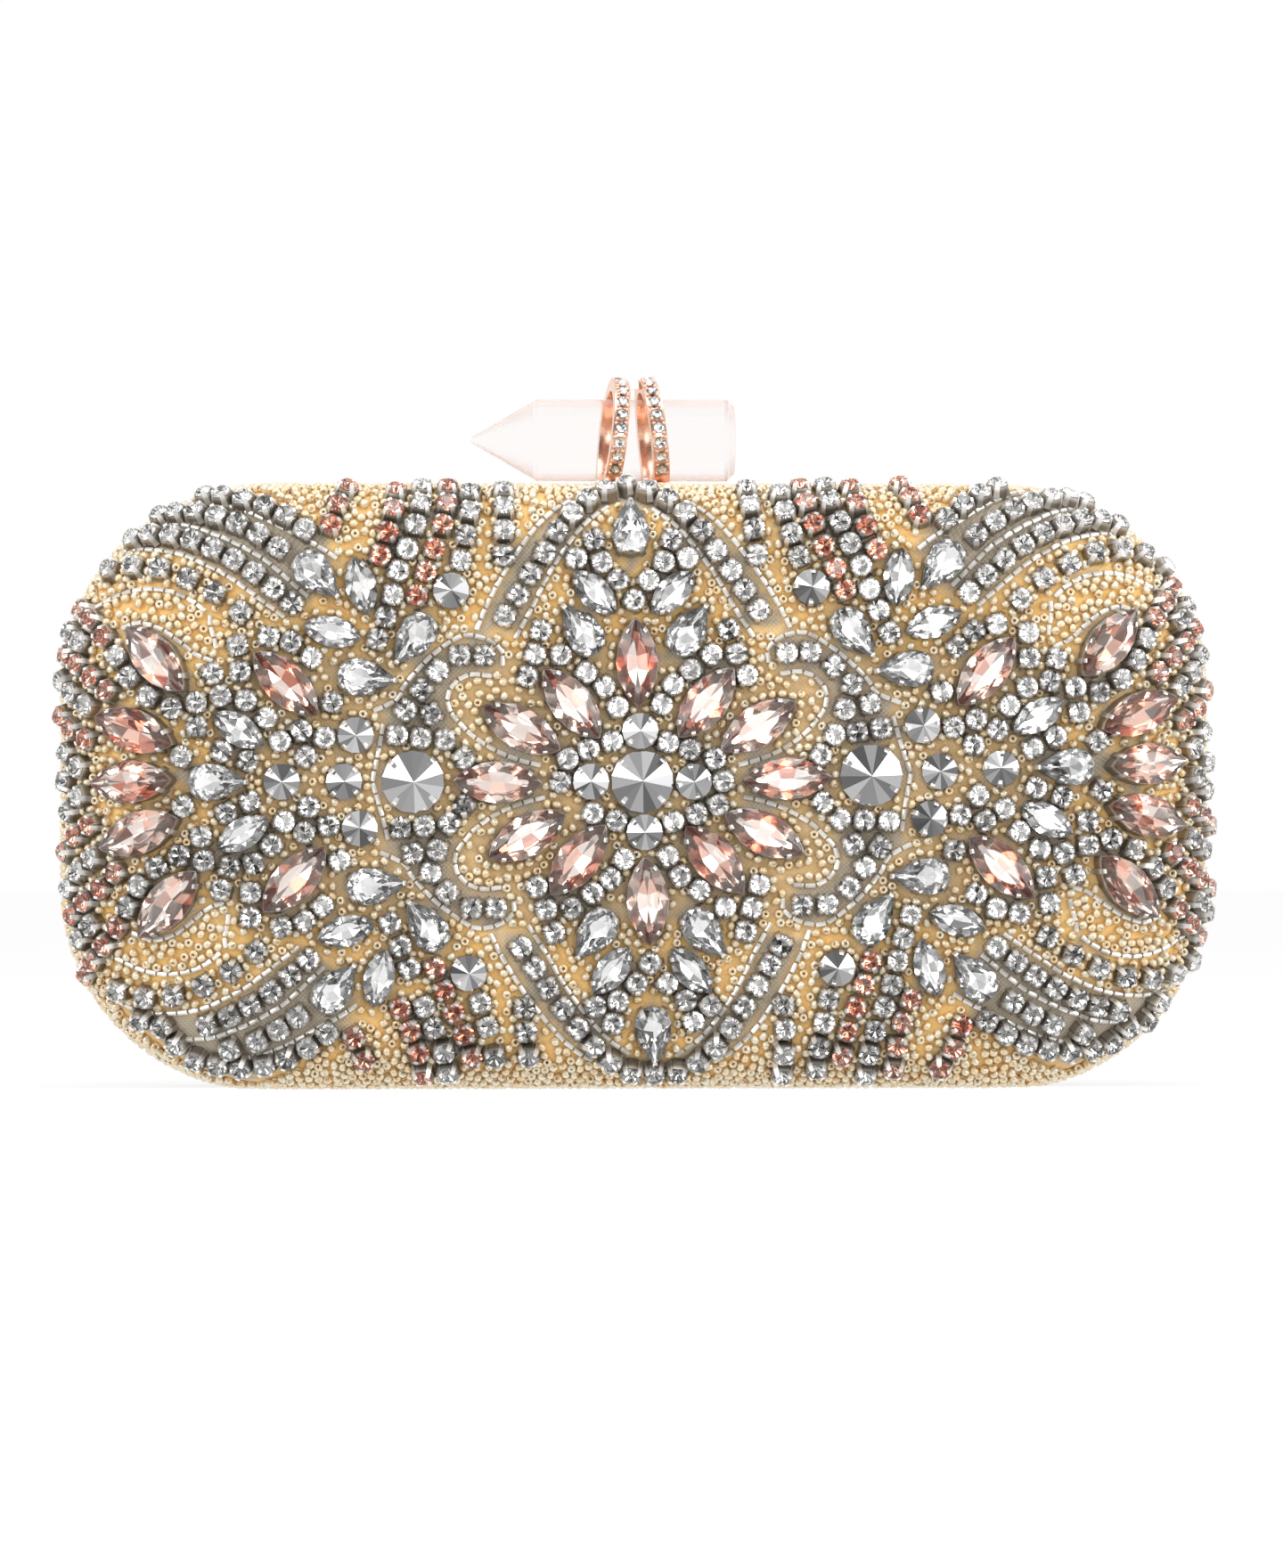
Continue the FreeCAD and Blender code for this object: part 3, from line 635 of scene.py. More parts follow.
# The pale and deep colours of each crystal are painted reflections, which glint picks from facet to facet;
# the foil colour is the stone's own tint.
ROSE = CrystalFinish(
    "rose_crystal", (1.0, 0.97, 0.96), (1.0, 0.90, 0.84), (1.0, 0.66, 0.54), (0.66, 0.23, 0.15), 0.56, 0.14
)
PEACH = CrystalFinish(
    "peach_crystal", (1.0, 0.95, 0.92), (1.0, 0.78, 0.66), (1.0, 0.50, 0.36), (0.46, 0.14, 0.08), 0.36, 0.25,
    metal=0.85,
)
CLEAR = CrystalFinish(
    "clear_crystal", (1.0, 1.0, 1.0), (1.0, 1.0, 1.0), (1.0, 0.99, 0.97), (0.24, 0.23, 0.22), 0.78, 0.12
)
SMALL_CLEAR = CrystalFinish(
    "small_clear_crystal", (1.0, 1.0, 1.0), (1.0, 1.0, 1.0), (0.98, 0.96, 0.93), (0.12, 0.11, 0.10), 0.6, 0.2,
    metal=0.8,
)
GREY = CrystalFinish(
    "grey_crystal", (0.97, 0.97, 0.97), (0.74, 0.73, 0.73), (0.46, 0.455, 0.46), (0.20, 0.20, 0.205),
    0.34, 0.25, metal=1.0, mirrored=True,
)


class Template:
    """A small mesh that is set many times."""

    def __init__(self, bm: bmesh.types.BMesh, smooth: bool) -> None:
        """Takes the mesh's points and faces, and frees it.

        Args:
            bm: mesh around its own origin, z outwards.
            smooth: True for round beads, False for facets.
        """
        bm.verts.ensure_lookup_table()
        bm.verts.index_update()
        self.points = np.array([vert.co for vert in bm.verts])
        self.corners = np.array([vert.index for face in bm.faces for vert in face.verts])
        self.totals = np.array([len(face.verts) for face in bm.faces])
        self.parts = np.array([face.material_index for face in bm.faces])
        low, high = self.points[:, 2].min(), self.points[:, 2].max()
        self.rise = (self.points[:, 2] - low) / max(high - low, 1e-9)
        self.smooth = smooth
        bm.free()

    def stamped(
        self, name: str, places: Sequence[Matrix], tones: np.ndarray, materials: Sequence[bpy.types.Material]
    ) -> bpy.types.Object:
        """One object with a copy at each place.

        Args:
            name: name of the piece.
            places: matrix of each copy.
            tones: one value from 0 to 1 for each copy.
            materials: one material for each part of the template.

        Returns:
            The new object, at the origin.
        """
        frames = np.array([np.array(place) for place in places])
        count = len(frames)
        turned = np.einsum("nij,pj->npi", frames[:, :3, :3], self.points) + frames[:, None, :3, 3]
        shift = np.arange(count)[:, None] * len(self.points)
        corners = (self.corners[None, :] + shift).ravel()
        totals = np.tile(self.totals, count)
        mesh = bpy.data.meshes.new(name)
        mesh.vertices.add(count * len(self.points))
        mesh.vertices.foreach_set("co", turned.ravel())
        mesh.loops.add(len(corners))
        mesh.loops.foreach_set("vertex_index", corners)
        mesh.polygons.add(len(totals))
        mesh.polygons.foreach_set("loop_start", np.concatenate(([0], np.cumsum(totals)[:-1])))
        mesh.polygons.foreach_set("material_index", np.tile(self.parts, count))
        mesh.polygons.foreach_set("use_smooth", np.full(len(totals), self.smooth))
        for material in materials:
            mesh.materials.append(material)
        mesh.update(calc_edges=True)
        self.carry(mesh, "tone", "POINT", np.repeat(tones, len(self.points)))
        self.carry(mesh, "rise", "POINT", np.tile(self.rise, count))
        if not self.smooth:
            # A random glint for each facet, which the crystal finishes turn into painted reflections.
            self.carry(mesh, "glint", "FACE", np.random.default_rng(count).random(len(totals)))
        return linked(name, mesh)

    @staticmethod
    def carry(mesh: bpy.types.Mesh, name: str, domain: str, values: np.ndarray) -> None:
        """Gives a mesh one value for each point or face, for its shader."""
        made = mesh.attributes.new(name, "FLOAT", domain)
        made.data.foreach_set("value", values.astype(np.float32))


def mesh_of(name: str, bm: bmesh.types.BMesh) -> bpy.types.Mesh:
    """A mesh made from bm, which is freed.

    Args:
        name: name of the mesh.
        bm: its points and faces.

    Returns:
        The mesh.
    """
    mesh = bpy.data.meshes.new(name)
    bm.to_mesh(mesh)
    bm.free()
    return mesh


def linked(name: str, data: bpy.types.ID) -> bpy.types.Object:
    """A new object in the scene.

    Args:
        name: name of the object.
        data: its mesh, camera or lamp.

    Returns:
        The object, at the origin.
    """
    piece = bpy.data.objects.new(name, data)
    bpy.context.scene.collection.objects.link(piece)
    return piece


def dressed(piece: bpy.types.Object, body: Body, slot: Slot, *nodes: str) -> bpy.types.Object:
    """Makes a piece ride on its body and stand for its nodes.

    Args:
        piece: the finished piece.
        body: what it moves with.
        slot: the record's slot for its finish; not used.
        nodes: CAD nodes that it stands for.

    Returns:
        The same piece.
    """
    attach(piece, body.value)
    if nodes:
        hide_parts(*nodes)
    LOG.info("%s rides on %s, %d faces", piece.name, body.value, len(piece.data.polygons))
    return piece


def spun(profile: Sequence[Place], steps: int) -> bmesh.types.BMesh:
    """Ring made by turning a closed profile of (radius, height) about Z.

    Args:
        profile: corners of the section, in order.
        steps: flats round the ring.

    Returns:
        The closed ring.
    """
    bm = bmesh.new()
    verts = [bm.verts.new((radius, 0, height)) for radius, height in profile]
    edges = [bm.edges.new((a, b)) for a, b in zip(verts, verts[1:] + verts[:1])]
    bmesh.ops.spin(
        bm, geom=verts + edges, axis=(0, 0, 1), cent=(0, 0, 0), angle=FULL_TURN, steps=steps, use_merge=True
    )
    bmesh.ops.remove_doubles(bm, verts=bm.verts, dist=FINE_WELD)
    bmesh.ops.recalc_face_normals(bm, faces=bm.faces)
    return bm


def place_matrix(origin: Vector, along: Vector, out: Vector) -> Matrix:
    """Matrix with x along and z out at an origin.

    Args:
        origin: where it stands.
        along: rough direction of x.
        out: direction of z.

    Returns:
        The matrix.
    """
    z = out.normalized()
    x = (along - z * along.dot(z)).normalized()
    y = z.cross(x)
    matrix = Matrix((x, y, z)).transposed().to_4x4()
    matrix.translation = origin
    return matrix


@dataclass(frozen=True)
class CaseForm:
    """Outside of one half of the case over its bead tops; side is -1 in front and 1 behind."""

    side: int
    parting: float
    middle: float
    half_width: float = 99 * MM
    half_height: float = 52 * MM
    depth: float = 23 * MM
    rim: float = 2.9 * MM
    corner: float = 35 * MM
    side_sweep: float = 28 * MM
    side_start: float = 4 * MM
    top_sweep: float = 11 * MM
    top_start: float = 12 * MM
    turn_steps: int = 30
    long_steps: int = 42
    short_steps: int = 12
    roll_steps: int = 26
    face_steps: int = 26
    heart_width: float = 33 * MM
    heart_height: float = 6.5 * MM

    def reach(self, half: float, sweep: float, start: float, depth: float, inset: float) -> float:
        """Half extent of the outline at a depth, set in by inset.

        Args:
            half: half extent at the rim.
            sweep: how far the edge rolls in.
            start: depth where the roll starts.
            depth: depth from the parting plane.
            inset: distance under the bead tops.

        Returns:
            The half extent.
        """
        if depth <= start:
            return half - inset
        share = min((depth - start) / (self.depth - inset - start), 1.0)
        return half - sweep + (sweep - inset) * math.sqrt(1 - share * share)

    def ring(self, half_w: float, half_h: float, radius: float, depth: float) -> list[Vector]:
        """Rounded rectangle at a depth from the parting plane, its first point repeated last.

        Args:
            half_w: half width.
            half_h: half height.
            radius: corner radius.
            depth: depth from the parting plane.

        Returns:
            The points, once round.
        """
        radius = max(radius, 0.0)
        core_w, core_h = max(half_w - radius, 0.0), max(half_h - radius, 0.0)
        corners = ((1, 1), (-1, 1), (-1, -1), (1, -1))

        def on_arc(number: int, turn: float) -> Place:
            """Point of a corner's arc."""
            across, up = corners[number % len(corners)]
            return across * core_w + radius * math.cos(turn), up * core_h + radius * math.sin(turn)

        points: list[Place] = []
        for number in range(len(corners)):
            first = math.radians(90 * number)
            last = first + math.pi / 2
            for step in range(self.turn_steps):
                points.append(on_arc(number, first + math.pi / 2 * step / self.turn_steps))
            start, end = on_arc(number, last), on_arc(number + 1, last)
            steps = self.long_steps if number % 2 == 0 else self.short_steps
            for step in range(steps):
                points.append(tuple(a + (b - a) * (step / steps) for a, b in zip(start, end)))
        points.append(points[0])
        y = self.parting + self.side * depth
        return [Vector((x, y, z + self.middle)) for x, z in points]

    def rings(self, inset: float) -> list[list[Vector]]:
        """Rings from the rim to the middle of the face, set in by inset.

        Args:
            inset: distance under the bead tops.

        Returns:
            The rings, all with the same number of points.
        """
        made = []
        face = self.depth - inset
        for step in range(self.roll_steps + 1):
            share = math.sin(math.pi / 2 * step / self.roll_steps)
            depth = self.rim + (face - self.rim) * share
            half_w = self.reach(self.half_width, self.side_sweep, self.side_start, depth, inset)
            half_h = self.reach(self.half_height, self.top_sweep, self.top_start, depth, inset)
            made.append(self.ring(half_w, half_h, self.corner - inset, depth))
        half_w, half_h = self.half_width - self.side_sweep, self.half_height - self.top_sweep
        for step in range(1, self.face_steps + 1):
            shrink = half_h * step / self.face_steps
            made.append(self.ring(half_w - shrink, half_h - shrink, self.corner - inset - shrink, face))
        return made

    def skin(self, inset: float) -> bmesh.types.BMesh:
        """Open skin of the half, set in by inset, facing outwards.

        Args:
            inset: distance under the bead tops.

        Returns:
            The skin, from rim to face.
        """
        rings = self.rings(inset)
        bm = bmesh.new()
        across, up = len(rings[0]) - 1, len(rings) - 1
        bmesh.ops.create_grid(bm, x_segments=across, y_segments=up, size=1.0)
        for vert in bm.verts:
            column = round((vert.co.x + 1) / 2 * across)
            row = round((vert.co.y + 1) / 2 * up)
            vert.co = rings[row][column]
        bmesh.ops.remove_doubles(bm, verts=bm.verts, dist=WELD)
        bmesh.ops.dissolve_degenerate(bm, edges=bm.edges, dist=WELD)
        bmesh.ops.recalc_face_normals(bm, faces=bm.faces)
        middle = Vector((0, self.parting + self.side * (self.depth - inset), self.middle))
        face = min(bm.faces, key=lambda one: (one.calc_center_median() - middle).length)
        if face.normal.y * self.side < 0:
            bmesh.ops.reverse_faces(bm, faces=bm.faces)
        return bm

    def flat_size(self, inset: float) -> Place:
        """Width and length of the piece of cloth that covers the half, set in by inset.

        Args:
            inset: distance under the bead tops.

        Returns:
            Width and length, laid flat.
        """
        sides = (
            (self.half_width, self.side_sweep, self.side_start),
            (self.half_height, self.top_sweep, self.top_start),
        )
        sizes = []
        for half, sweep, start in sides:
            depths = np.linspace(self.rim, self.depth - inset, self.roll_steps * 4)
            path = [(self.reach(half, sweep, start, depth, inset), depth) for depth in depths]
            run = sum(math.dist(a, b) for a, b in zip(path, path[1:]))
            sizes.append(2 * (run + half - sweep))
        return sizes[0], sizes[1]

    def outward(self, point: Vector) -> Vector:
        """Rough direction away from the heart of the half.

        Args:
            point: a place on the half.

        Returns:
            The direction, of any length.
        """
        heart_x = max(min(point.x, self.heart_width), -self.heart_width)
        heart_z = max(min(point.z - self.middle, self.heart_height), -self.heart_height)
        return point - Vector((heart_x, self.parting, heart_z + self.middle))


@dataclass(frozen=True)
class Pattern:
    """Sewn lines and bare grounds, drawn in one quarter in millimetres from the middle of the face."""

    middle: float
    lean: float = 0.045
    right_turn: float = 0.035
    half_width: float = 99.0
    rise: float = 1.0
    undo_steps: int = 3
    ogee: tuple = (
        ((27.2, 25.8), (25, 30.5), (22.1, 35.5), (19.1, 39.8), (16.2, 43.3), (13, 46), (10.5, 47.4)),
        ((20.7, 24.3), (17.6, 29.5), (15, 34.4), (12.4, 38.4), (9.6, 42), (6.9, 44.5), (3.9, 46.5)),
    )
    ogee_top: tuple = ((0, 52), (0, 47))
    bracket: tuple = (
        ((45.5, 12), (41.4, 14), (39.8, 16.5), (36.1, 20.5), (32, 23.7), (29, 25), (25.5, 24.3), (23.1, 22.5),
         (22.9, 20.5)),
        ((24.7, 18), (28.2, 18.3), (30.8, 17.2), (32.4, 15), (32.3, 12.3), (30.6, 9.9), (28.3, 7.6),
         (24.5, 5.2), (20.5, 3.6), (16.3, 2.6)),
        ((43.8, 10), (44.4, 7), (45.1, 4), (46, 0.5)),
    )
    bracket_foot: tuple = ((36, 4.5), (43.5, 8))
    bracket_bend: int = 6
    stripes: tuple = (
        ((50.3, 38), (53.7, 40.2), (57.4, 42.1), (60.7, 43.9), (64.4, 45.6), (68.5, 46.8), (73, 47.1),
         (77.5, 46.9), (81, 46)),
        ((55.6, 31.5), (57.5, 33.2), (60.6, 36), (63.3, 38.2), (68.2, 40.9), (71.1, 42.1), (74, 43.2),
         (77.5, 43.8), (81, 43.7), (86, 42.3)),
        ((59.7, 28), (62.6, 30.2), (66, 32.8), (69.4, 35.2), (73.3, 37.2), (76.3, 38.5), (80.2, 39.3),
         (84.2, 39.4), (88, 38.6), (91.5, 37)),
    )
    stripe_ground: tuple = (
        (49, 37.5), (53, 43), (58, 47.5), (64, 50.5), (72, 53), (82, 51), (95, 44), (90, 37.5), (84.2, 38.7),
        (80.2, 38.6), (76.3, 37.8), (73.3, 36.5), (69.4, 34.5), (66, 32.1), (62.6, 29.5), (59.2, 27.2),
        (54, 29.5), (51, 34),
    )
    crescent: tuple = (
        ((73.1, 29), (75.7, 31), (78.7, 32.3), (82.6, 32.8), (86.7, 32), (90.8, 30), (92.3, 29.3)),
        ((72.1, 20.5), (75.1, 21.7), (78, 24), (80.9, 26), (84.4, 27), (87.4, 26)),
        ((72.3, 28.5), (72.4, 26.5), (71.8, 24), (71.6, 22)),
    )

    def bare(self) -> tuple:
        """Outlines of the grounds that no seed bead covers.

        Returns:
            One outline for each ground of a quarter.
        """
        outer, inner = self.ogee
        ogee = (*outer, *self.ogee_top, *reversed(inner))
        bracket = (*self.bracket[0], *self.bracket[1][:self.bracket_bend], *self.bracket_foot)
        return self.stripe_ground, ogee, bracket

    def spot(self, u: float, w: float, across: int, up: int) -> Place:
        """Place on the face, in metres, of a quarter's point.

        Args:
            u: millimetres out from the middle.
            w: millimetres up or down from it.
            across: -1 left, 1 right.
            up: -1 below, 1 above.

        Returns:
            X and Z of the place.
        """
        x, z = across * u, up * w
        turn = self.right_turn * min(max(2 * x / self.half_width, 0.0), 1.0)
        return (x - (self.lean + turn) * z) * MM, (z + turn * x + self.rise) * MM + self.middle

    def is_bare(self, points: np.ndarray) -> np.ndarray:
        """True for points over the grounds that no seed bead covers.

        Args:
            points: places on the cloth.

        Returns:
            One truth for each point.
        """
        x, z = points[:, 0] / MM, (points[:, 2] - self.middle) / MM - self.rise
        u, w = x, z
        for _ in range(self.undo_steps):
            turn = self.right_turn * np.clip(2 * u / self.half_width, 0, 1)
            u, w = x + (self.lean + turn) * w, z - turn * u
        u, w = np.abs(u), np.abs(w)
        found = np.zeros(len(points), bool)
        for ground in self.bare():
            inside = np.zeros(len(points), bool)
            for (u0, w0), (u1, w1) in zip(ground, ground[1:] + ground[:1]):
                crosses = (w0 > w) != (w1 > w)
                slope = (u1 - u0) / (w1 - w0) if w1 != w0 else 0.0
                inside ^= crosses & (u < u0 + (w - w0) * slope)
            found |= inside
        return found


def smooth_line(points: Sequence[Place], steps: int = 14) -> list[Place]:
    """Points of a smooth line through the given ones.

    Args:
        points: what the line passes through.
        steps: points between two given ones.

    Returns:
        The points, from the first given one to the last.
    """
    ends = [points[0], *points, points[-1]]
    made = []
    for a, b, c, d in zip(ends, ends[1:], ends[2:], ends[3:]):
        for step in range(steps):
            t = step / steps
            made.append(tuple(
                0.5 * (2 * b[i] + (c[i] - a[i]) * t + (2 * a[i] - 5 * b[i] + 4 * c[i] - d[i]) * t * t
                       + (3 * b[i] - a[i] - 3 * c[i] + d[i]) * t ** 3)
                for i in range(2)
            ))
    made.append(tuple(points[-1]))
    return made


@dataclass
class Discs:
    """What already sits on the cloth, as discs."""

    centres: list[Vector] = field(default_factory=list)
    normals: list[Vector] = field(default_factory=list)
    radii: list[float] = field(default_factory=list)
    block: int = 3000
    near: float = 6 * MM
    far: float = 9 * MM

    def add(self, centre: Vector, normal: Vector, radius: float) -> None:
        """Adds one disc.

        Args:
            centre: its middle.
            normal: direction out of the cloth.
            radius: its radius.
        """
        self.centres.append(centre)
        self.normals.append(normal)
        self.radii.append(radius)

    def clearance(self, points: np.ndarray) -> np.ndarray:
        """Distance along the cloth from each point to the edge of the nearest disc.

        Discs further off than near along their own normal don't count, and far is the most that is told.

        Args:
            points: places on the cloth.

        Returns:
            One distance for each point, negative inside a disc.
        """
        found = np.full(len(points), self.far)
        if not self.centres:
            return found
        centres, normals, radii = np.array(self.centres), np.array(self.normals), np.array(self.radii)
        reach = self.far + radii
        order = np.argsort(points[:, 0])
        for start in range(0, len(points), self.block):
            some = order[start:start + self.block]
            spots = points[some]
            close = (centres[:, 0] + reach > spots[0, 0]) & (centres[:, 0] - reach < spots[-1, 0])
            if not close.any():
                continue
            away = spots[:, None, :] - centres[close]
            rise = (away * normals[close]).sum(2)
            gap = np.sqrt(np.maximum((away ** 2).sum(2) - rise ** 2, 0)) - radii[close]
            gap[np.abs(rise) > self.near] = self.far
            found[some] = np.minimum(gap.min(1), self.far)
        return found


def packed(points: np.ndarray, order: Iterable[int], pitches: np.ndarray) -> list[int]:
    """Greedy choice of points that keep a pitch from each other.

    Args:
        points: places to choose from.
        order: numbers of the points, the first served first.
        pitches: least distance from each point to the ones chosen before it.

    Returns:
        Numbers of the chosen points.
    """
    cells: dict[tuple, list] = defaultdict(list)
    leasts = (pitches ** 2).tolist()
    places = points.tolist()
    keys = np.floor(points / pitches.max()).astype(int).tolist()
    around = [(a, b, c) for a in (-1, 0, 1) for b in (-1, 0, 1) for c in (-1, 0, 1)]
    chosen = []
    for number in order:
        x, y, z = places[number]
        i, j, k = keys[number]
        least = leasts[number]
        if all(
            (x - ox) ** 2 + (y - oy) ** 2 + (z - oz) ** 2 >= least
            for a, b, c in around
            for ox, oy, oz in cells.get((i + a, j + b, k + c), ())
        ):
            cells[(i, j, k)].append((x, y, z))
            chosen.append(number)
    return chosen


@dataclass(frozen=True)
class StoneSet:
    """All the stones of one CAD node, with the cups that hold them."""

    node: str
    cut: Cut
    length: float
    width: float
    height: float
    finish: CrystalFinish
    slot: Slot
    girdle_share: float = 0.64
    pear_swell: float = 0.77
    navette_belly: float = 0.7
    pavilion_share: float = 0.2
    cup_drop: float = 1.37 * MM
    cup_sheet: float = 0.2 * MM
    cup_lip_drop: float = 0.1 * MM
    cup_floor_rise: float = 0.05 * MM
    cup_floor_share: float = 0.5
    claw_foot_share: float = 0.5
    claw_width: float = 1.1 * MM
    claw_reach: float = 0.7 * MM
    claw_outside: float = 0.45
    claw_taper: float = 0.35
    claw_turn_step: float = 0.05
    part_slack: float = 0.01 * MM

    @property
    def girdle(self) -> float:
        """Height of the girdle over the seat."""
        return self.height * self.girdle_share

    @property
    def small(self) -> bool:
        """True for chatons, which have the plainest cups."""
        return self.cut is Cut.CHATON

    @property
    def long(self) -> bool:
        """True for the cuts that are longer than wide."""
        return self.cut in (Cut.NAVETTE, Cut.PEAR)

    def edge(self, turn: float, share: float = 1.0) -> Place:
        """Point of the girdle's outline at a turn, drawn in to a share.

        Args:
            turn: angle in radians, 0 along the stone.
            share: 1 on the girdle, 0 in the middle.

        Returns:
            The point, along and across the stone.
        """
        x = math.cos(turn) * self.length / 2
        y = math.sin(turn) * self.width / 2
        if self.cut is Cut.NAVETTE:
            y *= abs(math.sin(turn)) ** self.navette_belly
        elif self.cut is Cut.PEAR:
            y *= abs(math.sin(turn / 2)) / self.pear_swell
        return x * share, y * share

    def facet_rings(self) -> list[tuple[float, float, int, float]]:
        """Rings of corner points: height, share of the girdle, count and half steps turned.

        Returns:
            The rings, from the top down.
        """
        girdle = self.girdle
        crown = self.height - girdle
        drop = self.width * self.pavilion_share
        if self.cut is Cut.RIVOLI:
            return [(self.height, 0.0, 1, 0), (girdle, 1.0, 14, 0), (girdle - drop, 0.0, 1, 0)]
        if self.small:
            return [(self.height, 0.58, 8, 0), (girdle, 1.0, 16, 0), (girdle - drop, 0.0, 1, 0)]
        return [
            (self.height, 0.56, 8, 0),
            (girdle + crown * 0.52, 0.82, 8, 1),
            (girdle, 1.0, 16, 0),
            (girdle - drop * 0.08, 1.0, 16, 0),
            (girdle - drop * 0.62, 0.54, 8, 1),
            (girdle - drop, 0.14, 2, 0),
        ]

    def stone(self) -> Template:
        """The faceted stone: part 0 is the crown and part 1 the foiled pavilion.

        Returns:
            The stone, seat at the origin.
        """
        bm = bmesh.new()
        for height, share, count, turned in self.facet_rings():
            for number in range(count):
                turn = FULL_TURN * (number + turned / 2) / count
                bm.verts.new((*self.edge(turn, share), height))
        bmesh.ops.remove_doubles(bm, verts=bm.verts, dist=FINE_WELD)
        hull = bmesh.ops.convex_hull(bm, input=bm.verts)
        loose = [item for item in hull["geom_interior"] if isinstance(item, bmesh.types.BMVert)]
        bmesh.ops.delete(bm, geom=loose, context="VERTS")
        bmesh.ops.dissolve_limit(bm, angle_limit=FLAT_ANGLE, verts=bm.verts, edges=bm.edges)
        bmesh.ops.recalc_face_normals(bm, faces=bm.faces)
        for face in bm.faces:
            face.material_index = 1 if face.calc_center_median().z < self.girdle - self.part_slack else 0
        return Template(bm, smooth=False)

    def claw_turns(self) -> tuple[float, ...]:
        """Where the claws stand round the girdle.

        Returns:
            Angles in radians.
        """
        if self.cut is Cut.NAVETTE:
            degrees = (42, 138, 222, 318)
        elif self.cut is Cut.PEAR:
            degrees = (0, 80, 150, 210, 280)
        else:
            degrees = DIAGONALS
        return tuple(math.radians(one) for one in degrees)

    def cup(self) -> Template:
        """Sheet metal cup, part 0, with claws bent over the girdle, part 1.

        Returns:
            The cup, round the stone's seat.
        """
        bm = bmesh.new()
        count, share = (8, 1.04) if self.small else (16, 0.97)
        verts = []
        for number in range(count):
            turn = FULL_TURN * (number + 0.5 * self.small) / count
            verts.append(bm.verts.new((*self.edge(turn, share), -self.cup_drop)))
        base = bm.faces.new(verts)
        wall = bmesh.ops.extrude_face_region(bm, geom=[base])
        top = [item for item in wall["geom"] if isinstance(item, bmesh.types.BMFace)][0]
        lift = self.girdle + self.cup_drop - self.cup_lip_drop
        bmesh.ops.translate(bm, verts=top.verts, vec=(0, 0, lift))
        bmesh.ops.inset_individual(bm, faces=[top], thickness=self.cup_sheet)
        bmesh.ops.translate(bm, verts=top.verts, vec=(0, 0, self.cup_floor_rise - lift))
        bmesh.ops.scale(bm, verts=top.verts, vec=(self.cup_floor_share, self.cup_floor_share, 1))
        bmesh.ops.recalc_face_normals(bm, faces=bm.faces)
        for turn in self.claw_turns():
            self.claw(bm, turn)
        return Template(bm, smooth=False)

    def claw(self, bm: bmesh.types.BMesh, turn: float) -> None:
        """One claw against the girdle at a turn.

        Args:
            bm: mesh of the cup.
            turn: angle in radians.
        """
        thick, top_share = (0.6 * MM, 1.0) if self.small else (0.45 * MM, 0.6)
        girdle = self.girdle
        x, y = self.edge(turn)
        ahead, behind = self.edge(turn + self.claw_turn_step), self.edge(turn - self.claw_turn_step)
        run = Vector((ahead[0] - behind[0], ahead[1] - behind[1], 0)).normalized()
        if self.cut is Cut.PEAR and turn == 0:
            run = Vector((0, 1, 0))
        out = Vector((run.y, -run.x, 0))
        foot, top = -self.cup_drop * self.claw_foot_share, girdle + (self.height - girdle) * top_share
        made = bmesh.ops.create_cube(bm, size=1.0)["verts"]
        for face in {face for vert in made for face in vert.link_faces}:
            face.material_index = 1
        size = Matrix.Diagonal((self.claw_width, thick, top - foot, 1))
        turned = Matrix((run, out, Vector((0, 0, 1)))).transposed().to_4x4()
        turned.translation = Vector((x, y, (foot + top) / 2)) + out * thick * self.claw_outside
        bmesh.ops.transform(bm, matrix=turned @ size, verts=made)
        tip = [vert for vert in made if vert.co.z > girdle]
        bmesh.ops.translate(bm, verts=tip, vec=-out * self.claw_reach)
        middle = sum((vert.co for vert in tip), Vector()) / len(tip)
        for vert in tip:
            vert.co.x += (middle.x - vert.co.x) * self.claw_taper
            vert.co.y += (middle.y - vert.co.y) * self.claw_taper

    def seats(self, outward: Callable[[Vector], Vector]) -> list[Matrix]:
        """Seat of each stone of the node, read from the node's separate solids.

        Args:
            outward: rough direction out of the cloth or band at a point.

        Returns:
            The seats, sorted by place.
        """
        bm = bmesh.new()
        bm.from_mesh(frame["nodes"][self.node].data)
        bmesh.ops.remove_doubles(bm, verts=bm.verts, dist=WELD)
        unseen = set(bm.verts)
        found = []
        for start in bm.verts:
            if start not in unseen:
                continue
            unseen.discard(start)
            group, front = [start], [start]
            while front:
                for edge in front.pop().link_edges:
                    for vert in edge.verts:
                        if vert in unseen:
                            unseen.discard(vert)
                            group.append(vert)
                            front.append(vert)
            found.append(self.seat(np.array([vert.co for vert in group]), outward))
        bm.free()
        found.sort(key=lambda one: tuple(round(part, 5) for part in one.translation))
        return found

    def seat(self, points: np.ndarray, outward: Callable[[Vector], Vector]) -> Matrix:
        """Matrix of one stone from the corners of its solid.

        Args:
            points: the corners.
            outward: rough direction out of the cloth or band at a point.

        Returns:
            The seat, x along the stone and z out.
        """
        middle = points.mean(0)
        _, axes = np.linalg.eigh(np.cov((points - middle).T))
        out, along = Vector(axes[:, 0]), Vector(axes[:, 2])
        if out.dot(outward(Vector(middle))) < 0:
            out = -out
        offset = points - middle
        reach = offset @ np.array(along)
        if self.cut is Cut.PEAR:
            side = np.abs(offset @ np.array(out.cross(along)))
            if (reach * side).sum() > 0:
                along, reach = -along, -reach
        height = (offset @ np.array(out)).min()
        origin = Vector(middle) + out * height
        if self.long:
            origin += along * (reach.max() + reach.min()) / 2
        return place_matrix(origin, along, out)

